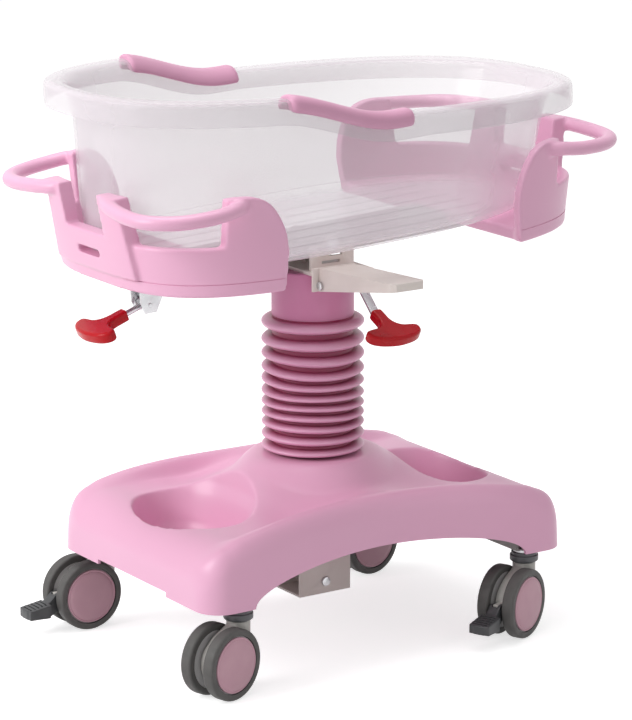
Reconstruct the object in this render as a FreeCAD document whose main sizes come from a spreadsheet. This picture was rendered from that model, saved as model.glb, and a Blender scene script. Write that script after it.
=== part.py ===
import FreeCAD
import Part

import math
import os

import Sketcher

from FreeCAD import Placement, Rotation, Vector

# Hospital bassinet: a clear basin held by two moulded end holders on a tilting spine,
# on a telescopic column with a bellows, on a moulded base with four twin-wheel castors.
# Millimetres. The origin is on the floor under the column axis, +Z is up, +X is the foot
# end and -Y the side that carries the hand paddle. The cradle and the basin are drawn
# level and then leaned about the trunnions, head end down, to where they stand at rest.

DIMS = {
    # twin-wheel castors
    "castor_x": 242,
    "castor_y": 182,
    "castor_trail": 36,
    "wheel_radius": 50,
    "tyre_band": 9.5,
    "tyre_width": 18,
    "tyre_round": 5,
    "disc_inset": 11,
    "cap_depth": 3,
    "axle_radius": 4,
    "running_gap": 0.06,
    "housing_radius": 30,
    "housing_width": 20,
    "neck_radius": 17,
    "ring_radius": 20.5,
    "ring_bottom": 101,
    "ring_depth": 15,
    "stem_radius": 6,
    "stem_flange_radius": 16,
    # moulded base and its steel chassis
    "cover_half_length": 302,
    "cover_half_width": 208,
    "cover_waist": 185,
    "cover_skirt_bottom": 118,
    "cover_arch_rise": 46,
    "cover_beam_top": 232,
    "cover_corner": 36,
    "cover_end_round": 60,
    "deck_edge": 206,
    "cover_wall": 4,
    "deck_top": 262,
    "well_x": 205,
    "well_half_x": 70,
    "well_half_y": 100,
    "well_floor": 148,
    "beam_bottom": 120,
    "beam_depth": 22,
    "cross_beam_width": 40,
    "cross_beam_half": 192,
    "base_spine_width": 80,
    "foot_box_x": 87,
    "foot_box_y": 64,
    "foot_box_bottom": 55,
    "foot_bolt_z": 73,
    "foot_bolt_radius": 5,
    # column
    "outer_tube_radius": 42,
    "outer_tube_top": 430,
    "inner_tube_radius": 34,
    "inner_tube_bottom": 180,
    "tube_wall": 3,
    "bush_gap": 0.3,
    "bush_depth": 26,
    "bellows_radius": 73,
    "bellows_valley": 61,
    "bellows_wall": 5,
    "bellows_rings": 10,
    "bellows_top": 462,
    "collar_radius": 58.5,
    "collar_top": 528,
    "collar_wall": 4,
    "lift_cylinder_radius": 14,
    "lift_cylinder_top": 320,
    "lift_rod_radius": 5,
    # head and tilting cradle
    "head_plate": 5,
    "tilt_axis_z": 568,
    "trunnion_radius": 5.5,
    "anchor_z": 547,
    "anchor_radius": 4,
    "anchor_gap": 1.0,
    "cradle_spine_half": 300,
    "cradle_spine_width": 80,
    "cradle_spine_bottom": 554,
    "cradle_spine_depth": 24,
    "cradle_spine_wall": 4,
    "tilt_cylinder_radius": 9,
    "tilt_rod_radius": 4,
    "tilt_pivot_x": 278,
    "tilt_pivot_z": 523,
    "tilt_lever_drop": 17,
    "cradle_lean": 3,
    "holder_bottom": 566,
    "holder_floor": 6,
    "holder_wall": 14,
    "holder_front": 190,
    "holder_foot_shift": 10,
    "post_half_y": 95,
    "post_proud": 8,
    "post_gap_half": 50,
    "low_band_top": 641,
    "window_bottom": 634,
    "window_top": 676,
    "window_start": 268,
    "rail_radius": 10,
    "rail_half_width": 11.5,
    # basin
    "basin_bottom": 584,
    "basin_floor": 4.5,
    "rim_head_z": 812,
    "rim_dip_z": 777,
    "rim_foot_z": 780,
    "rim_half_x": 388,
    "rim_half_y": 236,
    "rim_shift": 12,
    # controls
    "paddle_pivot_y": 70,
    "paddle_pivot_z": 516,
    "paddle_tip_y": 240,
    "lift_pivot_y": 66,
    "lift_pivot_z": 519,
    "strap_width": 14,
    "strap_x": 33,
}

# Each castor's place, as signs of X and Y, and its trailing direction in degrees from -X.
CASTORS = {
    "left_front": (-1, -1, 16),
    "left_back": (-1, 1, 0),
    "right_front": (1, -1, 24),
    "right_back": (1, 1, 8),
}

doc = FreeCAD.newDocument("bassinet")
sheet = doc.addObject("Spreadsheet::Sheet", "dims")
for row, (alias, size) in enumerate(DIMS.items(), start=1):
    sheet.set(f"A{row}", alias)
    sheet.set(f"B{row}", str(size))
    sheet.setAlias(f"B{row}", alias)
doc.recompute()

nodes = []


def dim(alias):
    """The value of one cell of the sheet."""
    return float(sheet.get(alias))


def node(part, label, place=None):
    """Marks an object as a finished sub-part and names it."""
    part.Label = label
    if place is not None:
        part.Placement = place
    nodes.append(part)
    return part


# ---------------------------------------------------------------- construction helpers

def along_x(x, y, z):
    return Placement(Vector(x, y, z), Rotation(Vector(0, 1, 0), 90))


def along_y(x, y, z):
    return Placement(Vector(x, y, z), Rotation(Vector(1, 0, 0), -90))


def along_z(x, y, z):
    return Placement(Vector(x, y, z), Rotation())


def cylinder(name, radius, height, place):
    """A Part::Cylinder whose radius and height are expressions on the sheet."""
    part = doc.addObject("Part::Cylinder", name)
    part.setExpression("Radius", radius)
    part.setExpression("Height", height)
    part.Placement = place
    return part


def box(name, length, width, height, corner):
    """A Part::Box whose three sizes are expressions, with its low corner at a point."""
    part = doc.addObject("Part::Box", name)
    part.setExpression("Length", length)
    part.setExpression("Width", width)
    part.setExpression("Height", height)
    part.Placement = Placement(Vector(*corner), Rotation())
    return part


def fuse(name, *shapes):
    part = doc.addObject("Part::MultiFuse", name)
    part.Shapes = list(shapes)
    return part


def group(name, *shapes):
    """Separate solids that share one node."""
    part = doc.addObject("Part::Compound", name)
    part.Links = list(shapes)
    return part


def cut(name, base, *tools):
    part = doc.addObject("Part::Cut", name)
    part.Base = base
    part.Tool = tools[0] if len(tools) == 1 else fuse(name + "_tools", *tools)
    return part


def tube(name, radius, bore, height, place):
    """A cylinder with a coaxial bore, both given as expressions."""
    outer = cylinder(name + "_outer", radius, height, place)
    inner = cylinder(name + "_bore", bore, height, place)
    return cut(name, outer, inner)


def free_form(name, shape):
    """A sub-part whose skin is lofted or swept in code."""
    part = doc.addObject("Part::Feature", name)
    part.Shape = shape
    return part


def origin_plane(body, role):
    return next(item for item in body.Origin.OriginFeatures if item.Role == role)


def sketch_outline(body, name, plane, points):
    """A closed sketch of straight lines through points, with its corners joined."""
    sketch = body.newObject("Sketcher::SketchObject", name)
    sketch.AttachmentSupport = (origin_plane(body, plane), [""])
    sketch.MapMode = "FlatFace"
    count = len(points)
    for index in range(count):
        start = Vector(*points[index], 0)
        end = Vector(*points[(index + 1) % count], 0)
        sketch.addGeometry(Part.LineSegment(start, end), False)
    for index in range(count):
        following = (index + 1) % count
        sketch.addConstraint(Sketcher.Constraint("Coincident", index, 2, following, 1))
    return sketch


def padded(name, plane, points, length, offset=None):
    """A PartDesign body with one symmetric pad; length is an expression."""
    body = doc.addObject("PartDesign::Body", name)
    profile = sketch_outline(body, name + "_profile", plane, points)
    if offset is not None:
        profile.AttachmentOffset = Placement(Vector(0, 0, offset), Rotation())
    pad = body.newObject("PartDesign::Pad", name + "_pad")
    pad.Profile = profile
    pad.SideType = "Symmetric"
    pad.setExpression("Length", length)
    return body


def revolved(name, points):
    """A PartDesign body revolved about Z from (radius, height) points."""
    body = doc.addObject("PartDesign::Body", name)
    profile = sketch_outline(body, name + "_profile", "XZ_Plane", points)
    turn = body.newObject("PartDesign::Revolution", name + "_turn")
    turn.Profile = profile
    turn.ReferenceAxis = (profile, ["V_Axis"])
    turn.Angle = 360
    return body


def superellipse(half_x, half_y, power, height, centre=0, count=48):
    """Points round a superellipse; height is a number or a function of x and y."""
    points = []
    for index in range(count):
        angle = 2 * math.pi * index / count
        c = math.cos(angle)
        s = math.sin(angle)
        x = centre + half_x * math.copysign(abs(c) ** (2 / power), c)
        y = half_y * math.copysign(abs(s) ** (2 / power), s)
        z = height(x, y) if callable(height) else height
        points.append(Vector(x, y, z))
    return points


def closed_curve(points):
    curve = Part.BSplineCurve()
    curve.interpolate(points, PeriodicFlag=True)
    return Part.Wire([curve.toShape()])


def lofted_rings(rings):
    """A solid lofted through superellipse rings (half_x, half_y, power, height)."""
    wires = [closed_curve(superellipse(*ring)) for ring in rings]
    return Part.makeLoft(wires, True, False)


def smooth_step(value):
    t = min(1.0, max(0.0, value))
    return t * t * (3 - 2 * t)


# ---------------------------------------------------------------- castors

def castor_tyres(name):
    """Two rounded rubber tyres, one on each side of the housing."""
    rings = []
    for side, start in (("near", dim("disc_inset")), ("far", -dim("disc_inset") - dim("tyre_width"))):
        centre = along_y(-dim("castor_trail"), start, dim("wheel_radius"))
        disc = cylinder(f"{name}_{side}_disc", "dims.wheel_radius", "dims.tyre_width", centre)
        rounded = doc.addObject("Part::Fillet", f"{name}_{side}_rounded")
        rounded.Base = disc
        rounded.Edges = [(edge, dim("tyre_round"), dim("tyre_round")) for edge in (1, 3)]
        seat = cylinder(f"{name}_{side}_seat", "dims.wheel_radius - dims.tyre_band",
                        "dims.tyre_width", centre)
        rings.append(cut(f"{name}_{side}_ring", rounded, seat))
    return group(name, *rings)


def castor_hubs(name):
    """Two plastic wheel cores with a shallow recess for the hub cap."""
    cores = []
    for side, start in (("near", dim("disc_inset")), ("far", -dim("disc_inset") - dim("tyre_width"))):
        depth = dim("cap_depth")
        recess_start = start if start < 0 else start + dim("tyre_width") - depth
        centre = (-dim("castor_trail"), start, dim("wheel_radius"))
        recess_centre = (-dim("castor_trail"), recess_start, dim("wheel_radius"))
        core = cylinder(f"{name}_{side}_core", "dims.wheel_radius - dims.tyre_band",
                        "dims.tyre_width", along_y(*centre))
        bore = cylinder(f"{name}_{side}_bore", "dims.axle_radius + dims.running_gap",
                        "dims.tyre_width", along_y(*centre))
        recess = cylinder(f"{name}_{side}_recess", "dims.wheel_radius - dims.tyre_band - 1.5",
                          "dims.cap_depth", along_y(*recess_centre))
        cores.append(cut(f"{name}_{side}_hub", core, bore, recess))
    return group(name, *cores)


def castor_caps(name):
    """Two coloured hub caps, let into the wheel cores."""
    caps = []
    outer = dim("disc_inset") + dim("tyre_width")
    for side, start in (("near", outer - dim("cap_depth")), ("far", -outer)):
        centre = along_y(-dim("castor_trail"), start, dim("wheel_radius"))
        caps.append(cylinder(f"{name}_{side}", "dims.wheel_radius - dims.tyre_band - 1.5",
                             "dims.cap_depth", centre))
    return group(name, *caps)


def castor_axle(name):
    length = 2 * (dim("disc_inset") + dim("tyre_width") - dim("cap_depth")) - 0.6
    place = along_y(-dim("castor_trail"), -length / 2, dim("wheel_radius"))
    return cylinder(name, "dims.axle_radius",
                    "2 * (dims.disc_inset + dims.tyre_width - dims.cap_depth) - 0.6", place)


def castor_fork(name, with_ear):
    """The drum between the wheels and the neck that turns on the stem."""
    trail = dim("castor_trail")
    half = dim("housing_width") / 2
    wheel = dim("wheel_radius")
    neck_foot = 58
    drum = cylinder(name + "_drum", "dims.housing_radius", "dims.housing_width",
                    along_y(-trail, -half, wheel))
    neck = cylinder(name + "_neck", "dims.neck_radius", f"dims.ring_bottom - {neck_foot}",
                    along_z(0, 0, neck_foot))
    flank = box(name + "_flank", "dims.castor_trail", "dims.housing_width", "32",
                (-trail, -half, neck_foot))
    gap = dim("neck_radius") + 1
    trim = [box(f"{name}_trim_{side}", "2 * dims.neck_radius", "dims.neck_radius",
                "dims.ring_bottom - 6 - 50", (-gap, start, 50))
            for side, start in (("near", half), ("far", -half - dim("neck_radius")))]
    solids = [drum, neck, flank]
    if with_ear:
        solids.append(box(name + "_ear", "18", "8", "12", (-trail - 46, -4, wheel - 6)))
        solids.append(cylinder(name + "_pedal_pin", "2.5", "19",
                               along_y(-trail - 40, -9.5, wheel)))
    blank = fuse(name + "_blank", *solids)
    axle_bore = cylinder(name + "_axle_bore", "dims.axle_radius", "dims.housing_width",
                         along_y(-trail, -half, wheel))
    stem_bore = cylinder(name + "_stem_bore", "dims.stem_radius + dims.running_gap", "10",
                         along_z(0, 0, dim("ring_bottom") - 8))
    return cut(name, blank, axle_bore, stem_bore, *trim)


def castor_ring(name):
    return tube(name, "dims.ring_radius", "dims.stem_radius + dims.running_gap",
                "dims.ring_depth", along_z(0, 0, dim("ring_bottom")))


def brake_pedal(name):
    """A wedge pedal behind the wheels; its two cheeks straddle the ear of the fork."""
    trail = dim("castor_trail")
    wheel = dim("wheel_radius")
    root = -trail - 34
    tip = -trail - 94
    side = [(root, 36), (root, 56), (root - 12, 56), (root - 24, 44), (tip, 38), (tip, 24),
            (root - 22, 22)]
    wedge = padded(name + "_wedge", "XZ_Plane", side, "19")
    tread_side = [(-trail - 57, 43), (tip, 38), (tip, 24), (-trail - 57, 22)]
    tread = padded(name + "_tread", "XZ_Plane", tread_side, "34")
    blank = fuse(name + "_blank", wedge, tread)
    slot = box(name + "_slot", "20", "8.6", "40", (-trail - 48, -4.3, 30))
    bore = cylinder(name + "_bore", "2.5 + dims.running_gap", "19",
                    along_y(-trail - 40, -9.5, wheel))
    return cut(name, blank, slot, bore)


def castor_stems():
    """The four fixed stems, each with a flange that rests under the cross beam."""
    stems = []
    ring_top = dim("ring_bottom") + dim("ring_depth")
    for name, (sign_x, sign_y, _) in CASTORS.items():
        x = sign_x * dim("castor_x")
        y = sign_y * dim("castor_y")
        shank = cylinder(name + "_shank", "dims.stem_radius",
                         "dims.beam_bottom + dims.beam_depth - dims.ring_bottom + 4",
                         along_z(x, y, dim("ring_bottom") - 4))
        flange = cylinder(name + "_flange", "dims.stem_flange_radius",
                          "dims.beam_bottom - dims.ring_bottom - dims.ring_depth - 0.2",
                          along_z(x, y, ring_top + 0.2))
        stems.append(fuse(name + "_stem", shank, flange))
    return group("stems", *stems)


def build_castors():
    for name, (sign_x, sign_y, turn) in CASTORS.items():
        place = Placement(Vector(sign_x * dim("castor_x"), sign_y * dim("castor_y"), 0),
                          Rotation(Vector(0, 0, 1), turn))
        braked = name in ("left_back", "right_front")
        node(castor_ring(name + "_ring"), name + "_swivel_ring", place)
        node(castor_fork(name + "_fork", braked), name + "_castor_fork", place)
        node(castor_axle(name + "_axle"), name + "_wheel_axle", place)
        node(castor_tyres(name + "_tyres"), name + "_tyres", place)
        node(castor_hubs(name + "_hubs"), name + "_wheel_hubs", place)
        node(castor_caps(name + "_caps"), name + "_hub_caps", place)
        if braked:
            node(brake_pedal(name + "_pedal"), name + "_brake_pedal", place)
    node(castor_stems(), "castor_stems")


# ---------------------------------------------------------------- base

def cover_width(x):
    """Half width of the moulded base at a station: a waist, two lobes, round corners."""
    full = dim("cover_half_width")
    corner = dim("cover_corner")
    start = dim("cover_half_length") - corner
    waist = full - (full - dim("cover_waist")) * (1 - smooth_step(abs(x) / start))
    if abs(x) <= start:
        return waist
    return full - corner + math.sqrt(max(0.0, corner ** 2 - (abs(x) - start) ** 2))


def cover_bottom(x):
    """Lower edge of the skirt: level at the lobes, arched between them."""
    reach = abs(x) / 228
    rise = dim("cover_arch_rise") * math.sqrt(1 - reach ** 2) if reach < 1 else 0
    return dim("cover_skirt_bottom") + rise


def end_drop(x):
    """How far every top line falls as it rounds over into the end walls."""
    reach = dim("cover_end_round")
    over = max(0.0, abs(x) - dim("cover_half_length") + reach) / reach
    return 0.9 * reach * (1 - math.sqrt(max(0.0, 1 - over ** 2)))


def ridge_top(x):
    """Crest of the ridge along each long side: level, then falling towards the ends."""
    reach = min(abs(x), 260) / 260
    return dim("cover_beam_top") - 24 * reach ** 3 - end_drop(x)


def deck_middle(x):
    """Height of the deck on its centre line: level at the wells, up to the column."""
    return dim("deck_edge") + 54 * (1 - smooth_step((abs(x) - 70) / 150)) - end_drop(x)


def deck_groove(x):
    """Height of the deck beside the ridges, where a groove fades out past the column."""
    return dim("deck_edge") + 22 * (1 - smooth_step(abs(x) / 140)) - end_drop(x)


def cover_section(station, inset, scale, bottom):
    """One closed cross-section of the base at a station along X."""
    x = station * scale
    full = cover_width(station)
    width = full - inset
    top = ridge_top(station) - inset
    groove = deck_groove(station) - inset
    middle = deck_middle(station) - inset
    side_top = max(top - 36, bottom + 8)
    half = [(width - 4, side_top), (width - 8, 0.6 * top + 0.4 * side_top),
            (width - 15, top - 5), (full - 26, top),
            (full - 40 + 0.6 * inset, 0.5 * (top + groove)), (full - 54 + 0.3 * inset, groove),
            (full * 0.42, 0.35 * groove + 0.65 * middle)]
    crest = [(-y, z) for y, z in half] + [(0, middle)] + half[::-1]
    spline = Part.BSplineCurve()
    spline.interpolate([Vector(x, y, z) for y, z in crest])
    corners = [Vector(x, -width, bottom), Vector(x, width, bottom)]
    edges = [spline.toShape(),
             Part.makeLine(Vector(x, *crest[-1]), corners[1]),
             Part.makeLine(corners[1], corners[0]),
             Part.makeLine(corners[0], Vector(x, *crest[0]))]
    return Part.Wire(edges)


def cover_loft(inset, open_below):
    """The moulding's outline moved inwards; open_below takes it down past the skirt."""
    end = dim("cover_half_length")
    half = [end, end - 2, end - 8, end - 19, end - 36, end - 56, end - 75, 190, 145, 95, 45]
    stations = [-x for x in half] + [0] + half[::-1]
    scale = (end - inset) / end
    sections = [cover_section(x, inset, scale, 60 if open_below else cover_bottom(x))
                for x in stations]
    return Part.makeLoft(sections, True, False)


def well_cup(grow, floor):
    """Solid of one oval well, grown by a wall thickness, down to a floor height."""
    low = superellipse(dim("well_half_x") - 14 + grow, dim("well_half_y") - 14 + grow, 2.2, floor)
    high = superellipse(dim("well_half_x") + 4 + grow, dim("well_half_y") + 4 + grow, 2.2, 236)
    return Part.makeLoft([closed_curve(low), closed_curve(high)], True, False)


def base_cover():
    """Moulded shell with two wells, a boss round the column and four rest pillars."""
    wall = dim("cover_wall")
    outer = cover_loft(0, open_below=False)
    envelope = cover_loft(wall / 2, open_below=True)
    shell = outer.cut(cover_loft(wall, open_below=True))
    boss = Part.makeCone(115, dim("bellows_radius") + 5, 30, Vector(0, 0, dim("deck_top") - 30))
    throat = Part.makeCylinder(dim("outer_tube_radius") + 4, 60, Vector(0, 0, 220))
    hollow = Part.makeCone(109, dim("bellows_radius"), 26, Vector(0, 0, dim("deck_top") - 30))
    shell = shell.fuse(boss).cut(hollow).cut(throat)
    beam_top = dim("beam_bottom") + dim("beam_depth")
    for sign_x in (-1, 1):
        shift = Vector(sign_x * dim("well_x"), 0, 0)
        cup = well_cup(wall, dim("well_floor") - wall).translated(shift)
        mouth = well_cup(0, dim("well_floor")).translated(shift)
        shell = shell.fuse(cup.common(envelope)).cut(mouth)
        for sign_y in (-1, 1):
            place = Vector(sign_x * dim("castor_x"), sign_y * 150, beam_top)
            shell = shell.fuse(Part.makeCylinder(12, 62, place))
    return free_form("cover", shell.removeSplitter())


def cross_beam(name, sign):
    """Rectangular steel tube across the base with a hole for each castor stem."""
    width = dim("cross_beam_width")
    depth = dim("beam_depth")
    half = dim("cross_beam_half")
    x = sign * dim("castor_x")
    low = dim("beam_bottom")
    outer = box(name + "_outer", "dims.cross_beam_width", "2 * dims.cross_beam_half",
                "dims.beam_depth", (x - width / 2, -half, low))
    inner = box(name + "_inner", "dims.cross_beam_width - 5", "2 * dims.cross_beam_half",
                "dims.beam_depth - 5", (x - width / 2 + 2.5, -half, low + 2.5))
    holes = [cylinder(f"{name}_hole_{index}", "dims.stem_radius", "dims.beam_depth",
                      along_z(x, side * dim("castor_y"), low))
             for index, side in enumerate((-1, 1))]
    return cut(name, outer, inner, *holes)


def base_spine():
    """Wide steel tube that joins the cross beams and carries the column."""
    length = 2 * (dim("castor_x") - dim("cross_beam_width") / 2)
    low = dim("beam_bottom")
    width = dim("base_spine_width")
    outer = box("base_spine_outer", "2 * dims.castor_x - dims.cross_beam_width",
                "dims.base_spine_width", "dims.beam_depth", (-length / 2, -width / 2, low))
    inner = box("base_spine_inner", "2 * dims.castor_x - dims.cross_beam_width",
                "dims.base_spine_width - 6", "dims.beam_depth - 6",
                (-length / 2, 3 - width / 2, low + 3))
    hole = cylinder("base_spine_hole", "dims.lift_cylinder_radius + 2", "dims.beam_depth",
                    along_z(0, 0, low))
    return cut("base_spine_tube", outer, inner, hole)


def foot_box():
    """Folded steel channel under the spine that anchors the gas spring of the column."""
    size_x = dim("foot_box_x")
    size_y = dim("foot_box_y")
    low = dim("foot_box_bottom")
    outer = box("foot_outer", "dims.foot_box_x", "dims.foot_box_y",
                "dims.beam_bottom - dims.foot_box_bottom", (-size_x / 2, -size_y / 2, low))
    inner = box("foot_inner", "dims.foot_box_x", "dims.foot_box_y - 6",
                "dims.beam_bottom - dims.foot_box_bottom",
                (-size_x / 2, 3 - size_y / 2, low + 3))
    bore = cylinder("foot_bore", "dims.foot_bolt_radius", "dims.foot_box_y",
                    along_y(0, -size_y / 2, dim("foot_bolt_z")))
    return cut("foot", outer, inner, bore)


def foot_box_bolt():
    half = dim("foot_box_y") / 2
    z = dim("foot_bolt_z")
    shank = cylinder("foot_shank", "dims.foot_bolt_radius", "dims.foot_box_y + 8",
                     along_y(0, -half - 4, z))
    head = cylinder("foot_head", "dims.foot_bolt_radius + 1.6", "4", along_y(0, -half - 4, z))
    nut = cylinder("foot_nut", "dims.foot_bolt_radius + 3", "4", along_y(0, half, z))
    return fuse("foot_bolt", shank, head, nut)


def build_base():
    node(base_cover(), "base_cover")
    node(cross_beam("cross_left", -1), "cross_beam_left")
    node(cross_beam("cross_right", 1), "cross_beam_right")
    node(base_spine(), "base_spine")
    node(foot_box(), "foot_box")
    node(foot_box_bolt(), "foot_box_bolt")


# ---------------------------------------------------------------- column

def outer_column_tube():
    radius = dim("outer_tube_radius")
    bore = radius - dim("tube_wall")
    low = dim("beam_bottom") + dim("beam_depth")
    top = dim("outer_tube_top")
    flange = radius + 12
    return revolved("outer_tube", [(bore, low), (flange, low), (flange, low + 6),
                                   (radius, low + 6), (radius, top), (bore, top)])


def upper_guide_bush():
    """Fixed plastic bush in the mouth of the outer tube, with a lip on its edge."""
    bore = dim("inner_tube_radius") + dim("bush_gap")
    seat = dim("outer_tube_radius") - dim("tube_wall")
    top = dim("outer_tube_top")
    lip = dim("outer_tube_radius")
    low = top - dim("bush_depth")
    return revolved("upper_bush", [(bore, low), (seat, low), (seat, top), (lip, top),
                                   (lip, top + 3), (bore, top + 3)])


def lower_guide_bush():
    """Plastic bush round the foot of the inner tube, sliding in the outer tube."""
    bore = dim("inner_tube_radius")
    face = dim("outer_tube_radius") - dim("tube_wall") - dim("bush_gap")
    low = dim("inner_tube_bottom")
    return revolved("lower_bush", [(bore, low), (face, low), (face, low + dim("bush_depth")),
                                   (bore, low + dim("bush_depth"))])


def inner_column_tube():
    low = dim("inner_tube_bottom")
    place = along_z(0, 0, low)
    return tube("inner_tube", "dims.inner_tube_radius", "dims.inner_tube_radius - dims.tube_wall",
                "dims.collar_top - dims.inner_tube_bottom", place)


def bellows():
    """Corrugated sleeve: half-round rings on a straight wall."""
    low = dim("deck_top")
    top = dim("bellows_top")
    valley = dim("bellows_valley")
    crest = dim("bellows_radius")
    inside = valley - dim("bellows_wall")
    rings = int(dim("bellows_rings"))
    pitch = (top - low) / rings
    half = pitch * 0.36
    edges = []
    cursor = Vector(valley, 0, low)
    for index in range(rings):
        middle = low + (index + 0.5) * pitch
        start = Vector(valley, 0, middle - half)
        crown = Vector(crest, 0, middle)
        end = Vector(valley, 0, middle + half)
        edges.append(Part.makeLine(cursor, start))
        edges.append(Part.Arc(start, crown, end).toShape())
        cursor = end
    corners = [Vector(valley, 0, top), Vector(inside, 0, top), Vector(inside, 0, low),
               Vector(valley, 0, low)]
    for corner in corners:
        edges.append(Part.makeLine(cursor, corner))
        cursor = corner
    face = Part.Face(Part.Wire(edges))
    return free_form("sleeve", face.revolve(Vector(0, 0, 0), Vector(0, 0, 1), 360))


def column_collar():
    """Smooth moulded collar over the head of the column."""
    outside = dim("collar_radius")
    inside = outside - dim("collar_wall")
    low = dim("bellows_top")
    top = dim("collar_top")
    bore = dim("inner_tube_radius")
    return revolved("collar", [(inside, low), (outside, low), (outside, top), (bore, top),
                               (bore, top - 4), (inside, top - 4)])


def lift_gas_cylinder():
    """Gas spring body: an eye at the foot, a bored barrel and a gland at the top."""
    low = dim("foot_bolt_z") - 11
    top = dim("lift_cylinder_top")
    barrel = cylinder("lift_barrel", "dims.lift_cylinder_radius",
                      "dims.lift_cylinder_top - dims.foot_bolt_z + 11", along_z(0, 0, low))
    bore = cylinder("lift_bore", "dims.lift_cylinder_radius - 2.5",
                    "dims.lift_cylinder_top - 90 - 10", along_z(0, 0, 90))
    gland = cylinder("lift_gland", "dims.lift_rod_radius + 0.1", "20", along_z(0, 0, top - 15))
    eye = cylinder("lift_eye", "dims.foot_bolt_radius", "60", along_y(0, -30, dim("foot_bolt_z")))
    return cut("lift_cylinder", barrel, bore, gland, eye)


def lift_gas_rod():
    rod = cylinder("lift_shaft", "dims.lift_rod_radius", "dims.collar_top - 110",
                   along_z(0, 0, 110))
    piston = cylinder("lift_piston", "dims.lift_cylinder_radius - 2.8", "8", along_z(0, 0, 110))
    return fuse("lift_rod", rod, piston)


def build_column():
    node(outer_column_tube(), "outer_column_tube")
    node(upper_guide_bush(), "upper_guide_bush")
    node(lift_gas_cylinder(), "lift_gas_cylinder")
    node(bellows(), "bellows")
    node(inner_column_tube(), "inner_column_tube")
    node(lower_guide_bush(), "lower_guide_bush")
    node(lift_gas_rod(), "lift_gas_rod")
    node(column_collar(), "column_collar")


# ---------------------------------------------------------------- head

def head_bracket():
    """Welded head: plate, tilt cheeks, anchor lugs and pin, paddle tongue, lever lug."""
    low = dim("collar_top")
    axis = dim("tilt_axis_z")
    anchor = dim("anchor_z")
    paddle_y = -dim("paddle_pivot_y")
    paddle_z = dim("paddle_pivot_z")
    solids = [box("head_plate_box", "92", "125", "dims.head_plate", (-40, -63, low))]
    for sign in (-1, 1):
        start = 42 if sign > 0 else -47
        cheek = box(f"head_cheek_{sign + 1}", "72", "5", "dims.tilt_axis_z - dims.collar_top",
                    (-34, start, low))
        crown = cylinder(f"head_crown_{sign + 1}", "11", "5", along_y(0, start, axis))
        start = 7 if sign > 0 else -11
        lug = box(f"head_lug_{sign + 1}", "16", "4", "dims.anchor_z - dims.collar_top",
                  (-8, start, low))
        lug_crown = cylinder(f"head_lug_crown_{sign + 1}", "8", "4", along_y(0, start, anchor))
        solids += [cheek, crown, lug, lug_crown]
    pin = cylinder("head_anchor_pin", "dims.anchor_radius", "22", along_y(0, -11, anchor))
    face = box("head_face", "73", "4", "33", (-42, -64, 507))
    tongue = box("head_tongue", "16", "10", "20", (-8, paddle_y, paddle_z - 10))
    tongue_end = cylinder("head_tongue_end", "10", "16", along_x(-8, paddle_y, paddle_z))
    lever_lug = box("head_lever_lug", "4", "20", "25", (48, -76, 508))
    blank = fuse("head_blank", *solids, pin, face, tongue, tongue_end, lever_lug)
    trunnions = cylinder("head_trunnion_bore", "dims.trunnion_radius", "100",
                         along_y(0, -50, axis))
    paddle_bore = cylinder("head_paddle_bore", "4", "60", along_x(-30, paddle_y, paddle_z))
    lever_bore = cylinder("head_lever_bore", "3", "12",
                          along_x(44, -dim("lift_pivot_y"), dim("lift_pivot_z")))
    slots = [box("head_low_slot", "30", "12", "4", (-16, -50, 541)),
             box("head_high_slot", "22", "12", "3", (-4, -50, 551))]
    return cut("head", blank, trunnions, paddle_bore, lever_bore, *slots)


def trunnion_pins():
    """Two stub pins, one through each cheek, that the cradle tilts on."""
    pins = []
    axis = dim("tilt_axis_z")
    for index, start in enumerate((34, -50)):
        shank = cylinder(f"trunnion_shank_{index}", "dims.trunnion_radius", "16",
                         along_y(0, start, axis))
        head_start = 47 if start > 0 else -50
        head = cylinder(f"trunnion_head_{index}", "9", "3", along_y(0, head_start, axis))
        pins.append(fuse(f"trunnion_{index}", shank, head))
    return group("trunnions", *pins)


def hand_paddle():
    """Tapered lever on the near side, forked at its root, thin and wide at its tip."""
    tip = -dim("paddle_tip_y")
    side = [(-66, 507), (-66, 540), (tip, 548), (tip, 537)]
    wedge = padded("paddle_side", "YZ_Plane", side, "80")
    plan = [(-33, -66), (26, -66), (26, tip + 9), (20, tip), (-24, tip), (-29, tip + 7)]
    outline = padded("paddle_plan", "XY_Plane", plan, "1200")
    common = doc.addObject("Part::MultiCommon", "paddle_blank")
    common.Shapes = [wedge, outline]
    bore = cylinder("paddle_bore", "4 + dims.running_gap", "80",
                    along_x(-40, -dim("paddle_pivot_y"), dim("paddle_pivot_z")))
    fork = box("paddle_fork", "17", "21.5", "32.5", (-8.5, -81.5, 495))
    return cut("paddle", common, bore, fork)


def paddle_pin():
    y = -dim("paddle_pivot_y")
    z = dim("paddle_pivot_z")
    shank = cylinder("paddle_shank", "4", "61", along_x(-34, y, z))
    head = cylinder("paddle_head", "6", "3", along_x(-36.4, y, z))
    tail = cylinder("paddle_tail", "5.5", "2", along_x(26.4, y, z))
    return fuse("paddle_bolt", shank, head, tail)


def lift_lever_strap():
    """Bent steel strap that hangs from the lever pin and carries the red grip."""
    y = -dim("lift_pivot_y")
    top = dim("lift_pivot_z")
    outline = [(y - 1.5, top), (y - 5.5, 499), (-104.9, 467.6), (-128, 457), (-126.7, 454.2),
               (-103, 464.8), (y - 2.6, 497.6), (y + 1.5, top)]
    middle = dim("strap_x") + dim("strap_width") / 2
    strap = padded("strap_band", "YZ_Plane", outline, "dims.strap_width", middle)
    eye = cylinder("strap_eye", "5.5", "dims.strap_width", along_x(dim("strap_x"), y, top))
    blank = fuse("strap_blank", strap, eye)
    bore = cylinder("strap_bore", "3 + dims.running_gap", "dims.strap_width",
                    along_x(dim("strap_x"), y, top))
    return cut("strap", blank, bore)


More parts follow.
